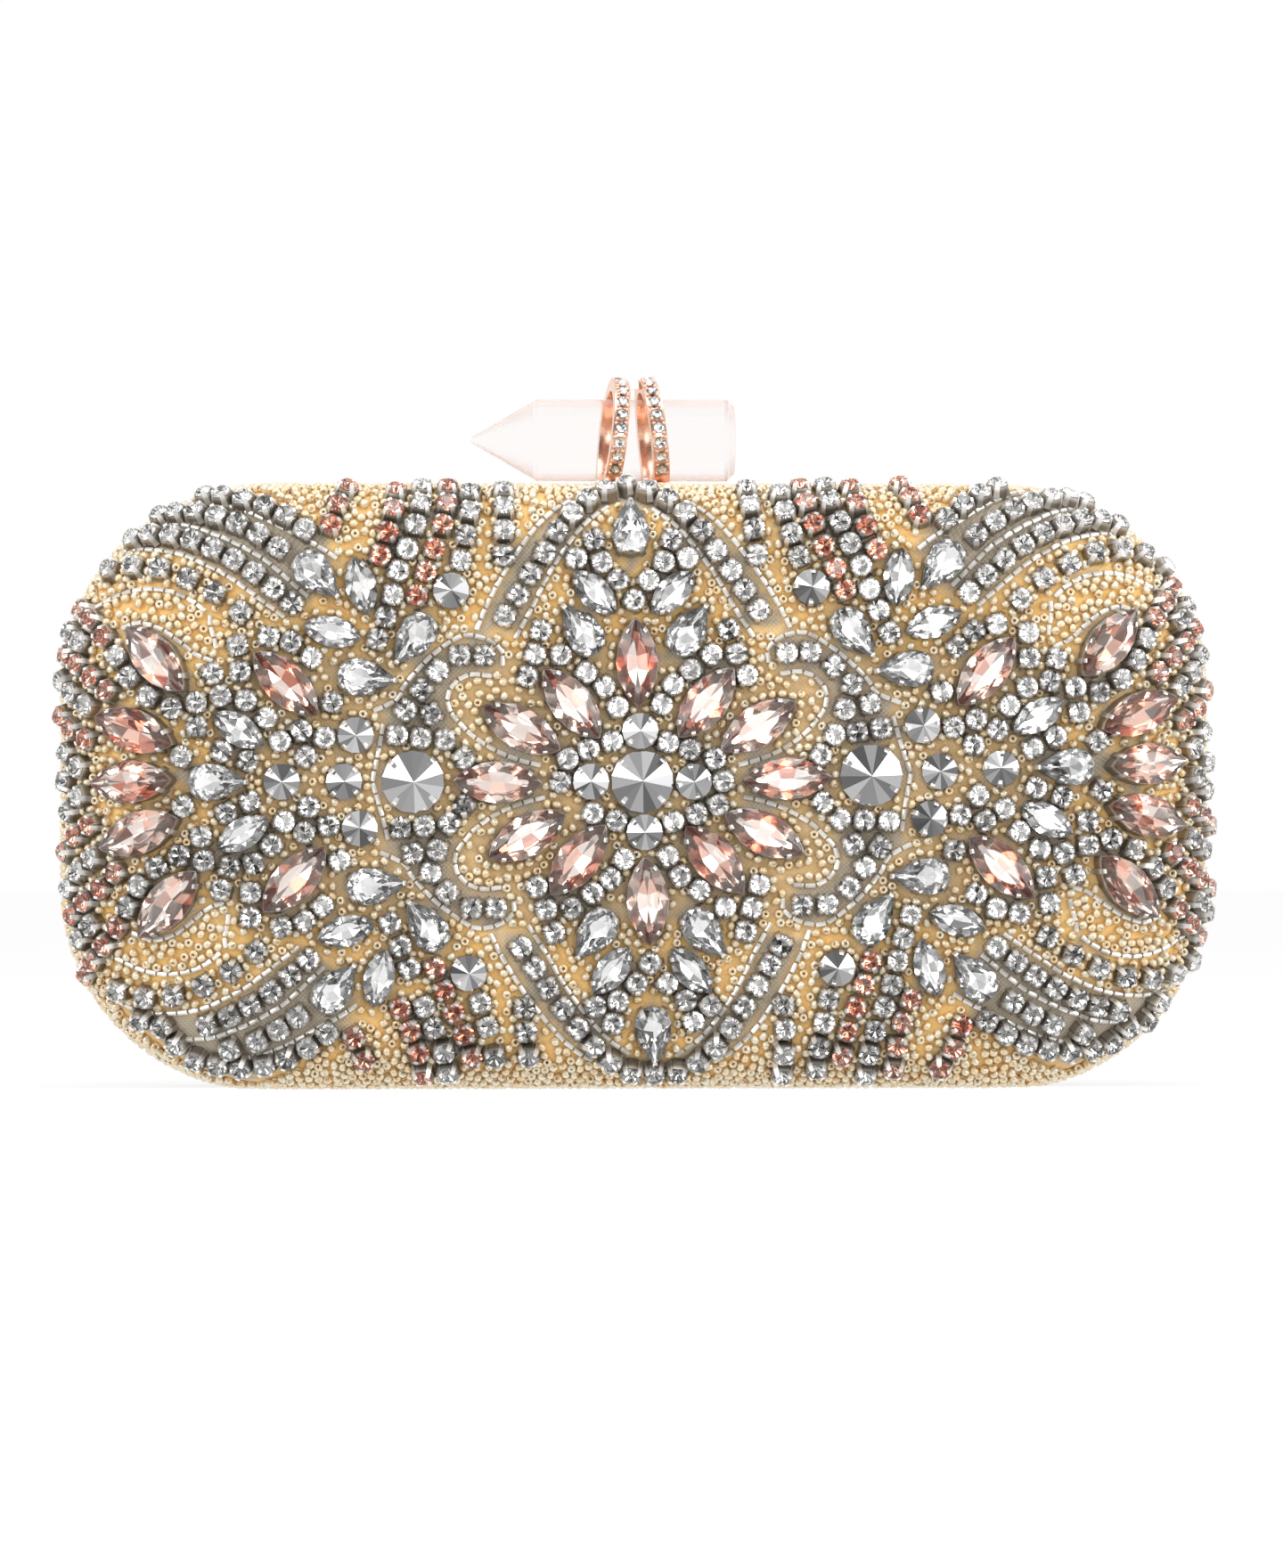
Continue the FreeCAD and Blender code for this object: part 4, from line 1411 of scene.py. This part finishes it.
    def cover(self, seats: Sequence[Matrix], discs: Discs) -> None:
        """Adds to discs the cloth that the stones hide.

        Args:
            seats: where the stones sit.
            discs: what already sits on the cloth.
        """
        shares = (-0.94, -0.8, -0.6, -0.4, -0.2, 0.0, 0.2, 0.4, 0.6, 0.8, 0.94) if self.long else (0.0,)
        for seat in seats:
            out = seat.col[2].to_3d()
            for share in shares:
                x, y = self.edge(math.acos(share))
                discs.add(seat @ Vector((x, 0, 0)), out, abs(y))


def hand_set(seats: Sequence[Matrix], degrees: float, rng: np.random.Generator) -> list[Matrix]:
    """Seats tipped a little at random, as stones sewn by hand are.

    Args:
        seats: true seats.
        degrees: usual size of the tip.
        rng: source of the tips.

    Returns:
        One tipped seat for each true one.
    """
    tipped = []
    for seat in seats:
        tip_x, tip_y, turn = (math.radians(degrees) * rng.normal() for _ in range(3))
        lean = Matrix.Rotation(tip_x, 4, "X") @ Matrix.Rotation(tip_y, 4, "Y") @ Matrix.Rotation(turn, 4, "Z")
        tipped.append(seat @ lean)
    return tipped


def search_tree(points: Sequence[Sequence[float]]) -> kdtree.KDTree:
    """A tree that finds the nearest of some points.

    Args:
        points: the points, found again by their numbers.

    Returns:
        The balanced tree.
    """
    tree = kdtree.KDTree(len(points))
    for number, point in enumerate(points):
        tree.insert(point, number)
    tree.balance()
    return tree


def row_seats(seats: Sequence[Matrix]) -> list[Matrix]:
    """Round seats turned so that their claws stand between neighbours in a row.

    Args:
        seats: seats of one node.

    Returns:
        One turned seat for each.
    """
    tree = search_tree([seat.translation for seat in seats])
    turned = []
    for seat in seats:
        near = tree.find_n(seat.translation, 2)
        along = near[-1][0] - seat.translation if len(near) > 1 else seat.col[0].to_3d()
        turned.append(place_matrix(seat.translation, along, seat.col[2].to_3d()))
    return turned


def cut_out(bm: bmesh.types.BMesh, windows: Iterable[tuple[Vector, Vector]]) -> None:
    """Cuts a skin away inside the given boxes, where something passes through it.

    Args:
        bm: the skin.
        windows: low and high corner of each box.
    """
    doomed = []
    for face in bm.faces:
        middle = face.calc_center_median()
        if any(all(low[i] < middle[i] < high[i] for i in range(3)) for low, high in windows):
            doomed.append(face)
    bmesh.ops.delete(bm, geom=doomed, context="FACES")


@dataclass(frozen=True)
class Sheet:
    """A soft sheet that is stretched over the shell of its half."""

    name: str
    body: Body
    slot: Slot
    node: str
    shell: str
    flat: Place
    thickness: float

    def build(self, bm: bmesh.types.BMesh, material: bpy.types.Material) -> None:
        """Makes the piece from its open skin, which is freed.

        Args:
            bm: the skin, facing outwards.
            material: finish of the sheet.
        """
        area = sum(face.calc_area() for face in bm.faces)
        bmesh.ops.solidify(bm, geom=bm.faces, thickness=self.thickness)
        for face in bm.faces:
            face.smooth = True
        mesh = mesh_of(self.name, bm)
        mesh.materials.append(material)
        piece = linked(self.name, mesh)
        dressed(piece, self.body, self.slot, self.node)


@dataclass
class Cover:
    """Beaded cloth cover of one half."""

    form: CaseForm
    pattern: Pattern
    body: Body
    name: str
    node: str
    lines: Sequence
    seed: int
    patterned: bool = True
    cloth_inset: float = 1.25 * MM
    cloth_thickness: float = 0.7 * MM
    bead_radius: float = 0.88 * MM
    bead_pitch: float = 1.55 * MM
    close_pitch: float = 1.42 * MM
    bare_depth: float = 10.5 * MM
    keep_clear: Sequence[tuple[Vector, Vector]] = ()
    close_rise: float = 23 * MM
    close_reach: float = 70 * MM
    loose_honey: float = 0.55
    honey_reach: float = 1.6
    bead_clearance: float = 0.72
    bead_height: float = 0.9
    tilt_drop: float = 0.2
    row_noise: float = 0.12 * MM
    bugle_length: float = 1.75 * MM
    bugle_radius: float = 0.47 * MM
    bugle_pitch: float = 2.05 * MM
    bugle_lip: float = 0.84
    bugle_hole: float = 0.42
    bugle_chamfer: float = 0.12 * MM
    bugle_overlap: float = 0.5 * MM
    bugle_discs: tuple[float, ...] = (-0.7, 0.0, 0.7)
    round_steps: int = 7
    samples_per_bead: int = 30
    beads_per_piece: int = 2600
    ray_start: float = 0.2
    discs: Discs = field(default_factory=Discs)
    bead_spots: np.ndarray = field(default_factory=lambda: np.zeros((0, 3)))

    def __post_init__(self) -> None:
        """Makes the cloth's skin, which everything is sewn to."""
        skin = self.form.skin(self.cloth_inset)
        self.tree = BVHTree.FromBMesh(skin)
        self.skin = mesh_of(self.name + "_skin", skin)
        self.rng = np.random.default_rng(self.seed)

    def on_cloth(self, x: float, z: float) -> tuple[Vector, Vector] | None:
        """Point and normal of the cloth over a place on the face.

        Args:
            x: place across.
            z: height.

        Returns:
            The two, or None past the edge of the cloth.
        """
        origin = Vector((x, self.form.parting + self.form.side * self.ray_start, z))
        point, normal, _, _ = self.tree.ray_cast(origin, Vector((0, -self.form.side, 0)))
        return None if point is None else (point, normal)

    def bugles(self, material: bpy.types.Material) -> None:
        """Sews bugle beads along the pattern's lines in all four quarters.

        Args:
            material: finish of the beads.
        """
        radius, half = self.bugle_radius, self.bugle_length / 2
        lip, hole, long = self.bugle_lip * radius, self.bugle_hole * radius, half - self.bugle_chamfer
        profile = ((hole, -half), (lip, -half), (radius, -long), (radius, long), (lip, half), (hole, half))
        places = []
        for across in (-1, 1):
            for up in (-1, 1):
                for line in self.lines:
                    spots = [self.pattern.spot(u, w, across, up) for u, w in smooth_line(line)]
                    places.extend(self.along(spots))
        gaps = self.discs.clearance(np.array([place.translation for place in places]))
        places = [place for place, gap in zip(places, gaps) if gap > -self.bugle_overlap]
        for place in places:
            run, normal = place.col[2].to_3d(), place.col[0].to_3d()
            for share in self.bugle_discs:
                self.discs.add(place.translation + run * share * half, normal, radius)
        tones = self.rng.random(len(places)) ** 2
        template = Template(spun(profile, self.round_steps), smooth=False)
        piece = template.stamped(self.name + "_bugle_beads", places, tones, [material])
        dressed(piece, self.body, Slot.CLOTH)

    def along(self, spots: Sequence[Place]) -> list[Matrix]:
        """Places of bugle beads end to end along a line on the cloth.

        Args:
            spots: close points of the line on the face.

        Returns:
            One matrix for each bead, z along the line.
        """
        path = [found for found in (self.on_cloth(x, z) for x, z in spots) if found]
        places = []
        travelled, due = 0.0, self.bugle_pitch / 2
        for (a, normal), (b, _) in zip(path, path[1:]):
            step = (b - a).length
            while step > 0 and travelled + step >= due:
                point = a.lerp(b, (due - travelled) / step)
                places.append(place_matrix(point + normal * self.bugle_radius, normal, (b - a).normalized()))
                due += self.bugle_pitch
            travelled += step
        return places

    def candidates(self) -> tuple[np.ndarray, np.ndarray]:
        """Many places on the cloth with their normals, evenly spread.

        Returns:
            The places, and one normal for each.
        """
        mesh = self.skin
        mesh.calc_loop_triangles()
        corners = np.zeros(len(mesh.loop_triangles) * 3, int)
        mesh.loop_triangles.foreach_get("vertices", corners)
        points = np.zeros(len(mesh.vertices) * 3)
        mesh.vertices.foreach_get("co", points)
        normals = np.zeros(len(mesh.vertices) * 3)
        mesh.vertices.foreach_get("normal", normals)
        corners, points, normals = corners.reshape(-1, 3), points.reshape(-1, 3), normals.reshape(-1, 3)
        a, b, c = (points[corners[:, i]] for i in range(3))
        areas = np.linalg.norm(np.cross(b - a, c - a), axis=1) / 2
        count = int(areas.sum() / self.bead_pitch ** 2 * self.samples_per_bead)
        chosen = self.rng.choice(len(areas), count, p=areas / areas.sum())
        first, second = self.rng.random(count), self.rng.random(count)
        over = first + second > 1
        first[over], second[over] = 1 - first[over], 1 - second[over]
        weights = np.stack((1 - first - second, first, second), axis=1)[:, :, None]
        spots = (points[corners[chosen]] * weights).sum(1)
        outs = (normals[corners[chosen]] * weights).sum(1)
        return spots, outs / np.linalg.norm(outs, axis=1)[:, None]

    def seed_beads(self, material: bpy.types.Material) -> None:
        """Fills the grounds with seed beads in rows that follow what is sewn there.

        Args:
            material: finish of the beads.
        """
        spots, outs = self.candidates()
        depth = np.abs(spots[:, 1] - self.form.parting)
        free = depth > self.form.rim + self.bead_radius
        if self.patterned:
            free &= ~self.pattern.is_bare(spots) | (depth < self.bare_depth)
        for low, high in self.keep_clear:
            free &= ~((spots > np.array(low)) & (spots < np.array(high))).all(1)
        spots, outs = spots[free], outs[free]
        gap = self.discs.clearance(spots)
        free = gap > self.bead_clearance * self.bead_radius
        spots, outs, gap = spots[free], outs[free], gap[free]
        order = np.argsort(gap + self.rng.random(len(gap)) * self.row_noise)
        chosen = packed(spots, order.tolist(), self.pitches(spots))
        spots, outs = spots[chosen], outs[chosen]
        self.bead_spots = spots
        template = Template(spun(self.bead_profile(), self.round_steps), smooth=True)
        tones = self.rng.random(len(spots))
        places = [self.bead_place(spot, out) for spot, out in zip(spots, outs)]
        for number, start in enumerate(range(0, len(places), self.beads_per_piece), 1):
            part = slice(start, start + self.beads_per_piece)
            name = f"{self.name}_seed_beads_{number}"
            piece = template.stamped(name, places[part], tones[part], [material])
            dressed(piece, self.body, Slot.CLOTH)

    def pitches(self, spots: np.ndarray) -> np.ndarray:
        """Bead pitch at each spot: close in the gold grounds, looser round the middle of the face."""
        close = np.array([self.is_close(spot) for spot in spots])
        return np.where(close, self.close_pitch, self.bead_pitch)

    def is_close(self, spot: Sequence[float]) -> bool:
        """True in the gold grounds above, below and beside the middle of the face."""
        return abs(spot[2] - self.form.middle) > self.close_rise or abs(spot[0]) > self.close_reach

    def bead_profile(self) -> tuple[Place, ...]:
        """Half section of a seed bead, hole to belly and back."""
        shares = ((0.34, 0.5), (0.72, 0.66), (1.0, 0.0), (0.72, -0.66), (0.34, -0.5))
        return tuple((across * self.bead_radius, up * self.bead_radius) for across, up in shares)

    def bead_place(self, spot: np.ndarray, out: np.ndarray) -> Matrix:
        """Matrix of a bead that lies on the cloth, its hole turned at random.

        Args:
            spot: place on the cloth.
            out: the cloth's normal there.

        Returns:
            The bead's place, z along its hole.
        """
        normal = Vector(out)
        side = normal.orthogonal()
        side.rotate(Matrix.Rotation(self.rng.random() * FULL_TURN, 3, normal))
        tilt = self.rng.random() ** 2
        axis = side.lerp(normal, tilt)
        centre = Vector(spot) + normal * (self.bead_radius * (self.bead_height - self.tilt_drop * tilt))
        centre.z = max(centre.z, self.bead_radius)
        return place_matrix(centre, normal.cross(side), axis)

    def cloth(self, material: bpy.types.Material, shell: str) -> None:
        """The ground cloth, with honey where seed beads lie.

        Args:
            material: finish of the cloth.
            shell: CAD node that the cloth is stretched over; not used.
        """
        tree = search_tree(self.bead_spots)
        bm = bmesh.new()
        bm.from_mesh(self.skin)
        cut_out(bm, self.keep_clear)
        layer = bm.verts.layers.float.new("honey")
        for vert in bm.verts:
            away = tree.find(vert.co)[2] / self.bead_pitch
            honey = min(max(self.honey_reach - away, 0.0), 1.0)
            vert[layer] = honey if self.is_close(vert.co) else honey * self.loose_honey
            vert.co.z = max(vert.co.z, 0.0)
        flat = self.form.flat_size(self.cloth_inset)
        sheet = Sheet(
            self.name + "_cloth", self.body, Slot.CLOTH, self.node, shell, flat, self.cloth_thickness
        )
        sheet.build(bm, material)


@dataclass(frozen=True)
class Lining:
    """Satin inside one half, open round the catch."""

    form: CaseForm
    body: Body
    node: str
    shell: str
    window: tuple[Vector, Vector]
    inset: float = 4.56 * MM
    thickness: float = 0.5 * MM

    def build(self, material: bpy.types.Material) -> None:
        """The lining as one sheet.

        Args:
            material: finish of the satin.
        """
        bm = self.form.skin(self.inset)
        cut_out(bm, [self.window])
        flat = self.form.flat_size(self.inset)
        sheet = Sheet(
            self.node + "_satin", self.body, Slot.LINING, self.node, self.shell, flat, self.thickness
        )
        sheet.build(bm, material)


@dataclass(frozen=True)
class Studio:
    """Camera, floor and soft light."""

    parting: float
    middle: float
    distance: float = 1.65
    azimuth: float = -3.5
    frame_height: float = 271.7 * MM
    sensor: float = 36.0
    aim_right: float = 1.3 * MM
    aim_up: float = 0.6 * MM
    ambient: float = 0.92
    dark: float = 0.16
    dark_from: float = 0.42
    dark_to: float = 0.9
    swing_width: float = 190 * MM
    swing_length: float = 300 * MM
    floor_reach: float = 3.0
    floor_drop: float = 0.05 * MM
    floor_bounce: float = 0.6
    floor_shade: float = 0.17
    floor_glow: float = 0.82

    def camera(self) -> None:
        """Level long-lens camera a little to the left of the front."""
        turn = math.radians(self.azimuth)
        back = Vector((math.sin(turn), -math.cos(turn), 0))
        aim = Vector((self.aim_right, self.parting, self.middle + self.aim_up))
        data = bpy.data.cameras.new("camera")
        data.sensor_width = self.sensor
        data.lens = self.sensor * self.distance / self.frame_height
        data.clip_end = 50.0
        camera = linked("camera", data)
        camera.location = aim + back * self.distance
        camera.rotation_euler = (-back).to_track_quat("-Z", "Y").to_euler()
        bpy.context.scene.camera = camera

    def light(self, name: str, place: Point, size: float, power: float) -> None:
        """One soft box that faces the case.

        Args:
            name: name of the lamp.
            place: where it stands.
            size: side of its square.
            power: its power in watts.
        """
        data = bpy.data.lights.new(name, "AREA")
        data.size = size
        data.energy = power
        lamp = linked(name, data)
        lamp.location = place
        aim = Vector((0, 0, self.middle)) - lamp.location
        lamp.rotation_euler = aim.to_track_quat("-Z", "Y").to_euler()
        lamp.visible_camera = False

    def lights(self) -> None:
        """Soft boxes at both sides, above and low in front."""
        self.light("left_box", (-0.75, -0.6, 0.45), 0.55, 3.3)
        self.light("right_box", (0.8, -0.5, 0.35), 0.5, 2.7)
        self.light("top_box", (0.05, -0.25, 0.95), 0.5, 3.4)
        self.light("low_box", (0.15, -0.85, 0.12), 0.22, 0.9)

    def world(self) -> None:
        """White surround, dark only round the camera, as a studio is."""
        world = bpy.data.worlds.new("studio")
        bpy.context.scene.world = world
        shader = Shader(world)
        seen = self.seen_clear(shader)
        way = shader.node("ShaderNodeTexCoord").output("Generated")
        front = 0.0 - shader.node("ShaderNodeSeparateXYZ", None, {0: way}).output("Y")
        camera = shader.node("ShaderNodeLightPath").output("Is Camera Ray")
        shade = front.ease(self.dark_from, self.dark_to) * (self.dark - 1) + 1.0
        mirrored = camera + (1 - camera) * shade
        strength = seen * mirrored + (1 - seen) * self.ambient
        sockets = {"Color": (1.0, 1.0, 1.0, 1.0), "Strength": strength}
        shader.close(shader.node("ShaderNodeBackground", None, sockets))

    @staticmethod
    def seen_clear(shader: Shader) -> Wire:
        """1 for rays from the camera, from mirrors and through glass.

        Args:
            shader: tree that reads it.

        Returns:
            The value, 0 for all other rays.
        """
        path = shader.node("ShaderNodeLightPath")
        found = path.output("Is Camera Ray").larger(path.output("Is Glossy Ray"))
        return found.larger(path.output("Is Transmission Ray"))

    def floor(self) -> None:
        """Pale floor that keeps the shadow of the case, open where the front half swings down."""
        bm = bmesh.new()
        bmesh.ops.create_grid(bm, x_segments=1, y_segments=1, size=self.floor_reach)
        bmesh.ops.translate(bm, verts=bm.verts, vec=(0, 0, -self.floor_drop))
        near, far = self.parting - self.swing_length, self.parting
        cuts = [((side * self.swing_width, 0, 0), (1, 0, 0)) for side in (-1, 1)]
        cuts += [((0, place, 0), (0, 1, 0)) for place in (near, far)]
        for point, normal in cuts:
            parts = [*bm.verts, *bm.edges, *bm.faces]
            bmesh.ops.bisect_plane(bm, geom=parts, plane_co=point, plane_no=normal)
        middle = Vector((0, (near + far) / 2, 0))
        opening = min(bm.faces, key=lambda face: (face.calc_center_median() - middle).length)
        bmesh.ops.delete(bm, geom=[opening], context="FACES")
        mesh = mesh_of("floor", bm)
        shader = new_shader("pale_floor")
        seen = self.seen_clear(shader)
        bounce, shaded = (
            shader.node("ShaderNodeBsdfDiffuse", None, {"Color": (grey, grey, grey, 1.0)})
            for grey in (self.floor_bounce, self.floor_shade)
        )
        glow = shader.node("ShaderNodeEmission", None, {"Strength": self.floor_glow})
        clear = shader.node("ShaderNodeAddShader", None, {0: shaded, 1: glow})
        surface = shader.node("ShaderNodeMixShader", None, {0: seen, 1: bounce, 2: clear})
        mesh.materials.append(shader.close(surface))
        linked("floor", mesh)

    def build(self) -> None:
        """Sets up everything that isn't the object."""
        bpy.context.scene.view_settings.view_transform = "Standard"
        self.camera()
        self.lights()
        self.world()
        self.floor()


CHATONS = (
    ("chevron_peach_chatons", PEACH, Slot.PEACH),
    ("side_peach_chatons", PEACH, Slot.PEACH),
    ("chevron_clear_chatons", SMALL_CLEAR, Slot.CLEAR),
    ("medallion_chatons", SMALL_CLEAR, Slot.CLEAR),
    ("stripe_chatons", SMALL_CLEAR, Slot.CLEAR),
    ("side_clear_chatons", SMALL_CLEAR, Slot.CLEAR),
)
STONES = (
    StoneSet("rose_navettes", Cut.NAVETTE, 15.4 * MM, 7.4 * MM, 2.8 * MM, ROSE, Slot.ROSE),
    StoneSet("clear_navettes", Cut.NAVETTE, 10.2 * MM, 5.4 * MM, 2.2 * MM, CLEAR, Slot.CLEAR),
    StoneSet("clear_pears", Cut.PEAR, 10.2 * MM, 6.4 * MM, 2.6 * MM, CLEAR, Slot.CLEAR),
    StoneSet("large_rivolis", Cut.RIVOLI, 10.7 * MM, 10.7 * MM, 3.3 * MM, GREY, Slot.GREY, girdle_share=0.25),
    StoneSet("small_rivolis", Cut.RIVOLI, 6.2 * MM, 6.2 * MM, 2.5 * MM, GREY, Slot.GREY, girdle_share=0.43),
    *(
        StoneSet(node, Cut.CHATON, 3.7 * MM, 3.7 * MM, 1.9 * MM, finish, slot, pavilion_share=0.4)
        for node, finish, slot in CHATONS
    ),
)
RING_STONES = StoneSet(
    "ring_stones", Cut.CHATON, 2.0 * MM, 2.0 * MM, 0.55 * MM, CLEAR, Slot.CLEAR, pavilion_share=0.09
)


def set_stones(cover: Cover) -> None:
    """Sets every stone of the front in its cup.

    Args:
        cover: the cover that the stones are sewn to, which learns where they sit.
    """
    rng = np.random.default_rng(STONE_SEED)
    # The shaded copy of the plating goes on the cups and the lit copy on the claws.
    cup_metals = [SHADED_SILVER_CUP.material(), SILVER_CLAW.material()]
    crystals: dict[str, list[bpy.types.Material]] = {}
    for stones in STONES:
        finish = stones.finish
        if finish.name not in crystals:
            crystals[finish.name] = [finish.crown(), finish.pavilion()]
        seats = stones.seats(cover.form.outward)
        if stones.small:
            seats = row_seats(seats)
        stones.cover(seats, cover.discs)
        seats = hand_set(seats, CHATON_TIP_DEGREES if stones.small else STONE_TIP_DEGREES, rng)
        tones = rng.random(len(seats))
        piece = stones.stone().stamped(stones.node + "_cut", seats, tones, crystals[finish.name])
        dressed(piece, Body.FRONT, stones.slot, stones.node)
        cups = stones.cup().stamped(stones.node + "_cups", seats, tones, cup_metals)
        dressed(cups, Body.FRONT, Slot.STEEL)


def set_ring(
    gold: bpy.types.Material,
    grain_radius: float = 0.34 * MM,
    grain_reach: float = 1.18 * MM,
    grain_rise: float = 0.1 * MM,
) -> None:
    """Sets the small stones of the clasp ring, each held by four grains of gold.

    Args:
        gold: finish of the grains.
        grain_radius: size of a grain.
        grain_reach: distance of a grain from the middle of its stone.
        grain_rise: height of a grain's middle over the band.
    """
    low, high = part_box("clasp_ring")
    heart = (low + high) / 2
    seats = RING_STONES.seats(lambda point: Vector((0, point.y - heart.y, point.z - heart.z)))
    tones = np.random.default_rng(RING_SEED).random(len(seats))
    materials = [CLEAR.crown(), CLEAR.pavilion()]
    piece = RING_STONES.stone().stamped("ring_stones_cut", seats, tones, materials)
    dressed(piece, Body.CLASP, Slot.CLEAR, RING_STONES.node)
    grains = []
    for seat in seats:
        across = place_matrix(seat.translation, Vector((1, 0, 0)), seat.col[2].to_3d())
        for turn in DIAGONALS:
            reach = Matrix.Rotation(math.radians(turn), 4, "Z") @ Vector((grain_reach, 0, grain_rise))
            grains.append(across @ Matrix.Translation(reach))
    bm = bmesh.new()
    bmesh.ops.create_icosphere(bm, subdivisions=2, radius=grain_radius)
    beads = Template(bm, smooth=True).stamped("ring_grains", grains, np.zeros(len(grains)), [gold])
    dressed(beads, Body.CLASP, Slot.GOLD)


def eased(node: bpy.types.Object, width: float) -> None:
    """Breaks the sharp edges of a CAD node.

    Args:
        node: the node.
        width: width of the broken edge.
    """
    weld = node.modifiers.new("weld", "WELD")
    weld.merge_threshold = WELD
    bevel = node.modifiers.new("bevel", "BEVEL")
    bevel.width = width
    bevel.segments = 2
    bevel.limit_method = "ANGLE"
    bevel.angle_limit = math.radians(40)


def finish_nodes(gold: bpy.types.Material) -> None:
    """Gives each CAD node that stays in view its finish, and eases the edges of the metal ones.

    Args:
        gold: finish of the rose gold nodes.
    """
    edges = {Slot.GOLD: 0.18 * MM, Slot.STEEL: 0.06 * MM}
    finishes = {
        Slot.GOLD: gold,
        Slot.STEEL: STEEL.material(),
        Slot.SHELL: BoardFinish().material(),
        Slot.CLASP: ClearFinish().material(),
    }
    for part in frame["record"]["subparts"]:
        node, slot = frame["nodes"][part["node"]], Slot(part["material_slot"])
        if slot in finishes:
            node.data.materials.clear()
            node.data.materials.append(finishes[slot])
        if slot in edges:
            eased(node, edges[slot])


def main() -> None:
    """Builds the clutch and its studio."""
    logging.basicConfig(level=logging.INFO, format="%(name)s: %(message)s")
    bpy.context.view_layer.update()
    _, front_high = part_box("front_cover")
    back_low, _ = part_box("back_cover")
    parting = (front_high.y + back_low.y) / 2
    front_form = CaseForm(-1, parting, front_high.z - CaseForm.half_height)
    back_form = CaseForm(1, parting, front_form.middle)
    pattern = Pattern(front_form.middle)
    Studio(parting, front_form.middle).build()
    gold = ROSE_GOLD.material()
    finish_nodes(gold)
    set_ring(gold)
    beads, bugles, ground = SEED_GLASS.material(), BUGLE_GLASS.material(), ClothFinish().material()
    front_lines = pattern.ogee + pattern.bracket + pattern.stripes + pattern.crescent
    front = Cover(front_form, pattern, Body.FRONT, "front", "front_cover", front_lines, seed=5)
    set_stones(front)
    foot_low, foot_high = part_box("clasp_foot")
    under_foot = (foot_low - FOOT_MARGIN_BELOW, foot_high + FOOT_MARGIN_ABOVE)
    back_lines = pattern.ogee + pattern.stripes + pattern.crescent
    back = Cover(
        back_form, pattern, Body.BACK, "back", "back_cover", back_lines, seed=7, patterned=False,
        bead_pitch=1.62 * MM, close_pitch=1.62 * MM, loose_honey=1.0, keep_clear=[under_foot],
    )
    for cover, shell in ((front, "front_shell"), (back, "back_shell")):
        cover.bugles(bugles)
        cover.seed_beads(beads)
        cover.cloth(ground, shell)
    satin = SatinFinish().material()
    for form, body, node, shell, names in (
        (front_form, Body.FRONT, "front_lining", "front_shell", ("keeper",)),
        (back_form, Body.BACK, "back_lining", "back_shell", ("post_bushings", "spring_block")),
    ):
        boxes = [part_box(name) for name in names]
        low = Vector([min(box[0][i] for box in boxes) for i in range(3)]) - LINING_MARGIN
        high = Vector([max(box[1][i] for box in boxes) for i in range(3)]) + LINING_MARGIN
        Lining(form, body, node, shell, (low, high)).build(satin)


if __name__ == "__main__":
    main()
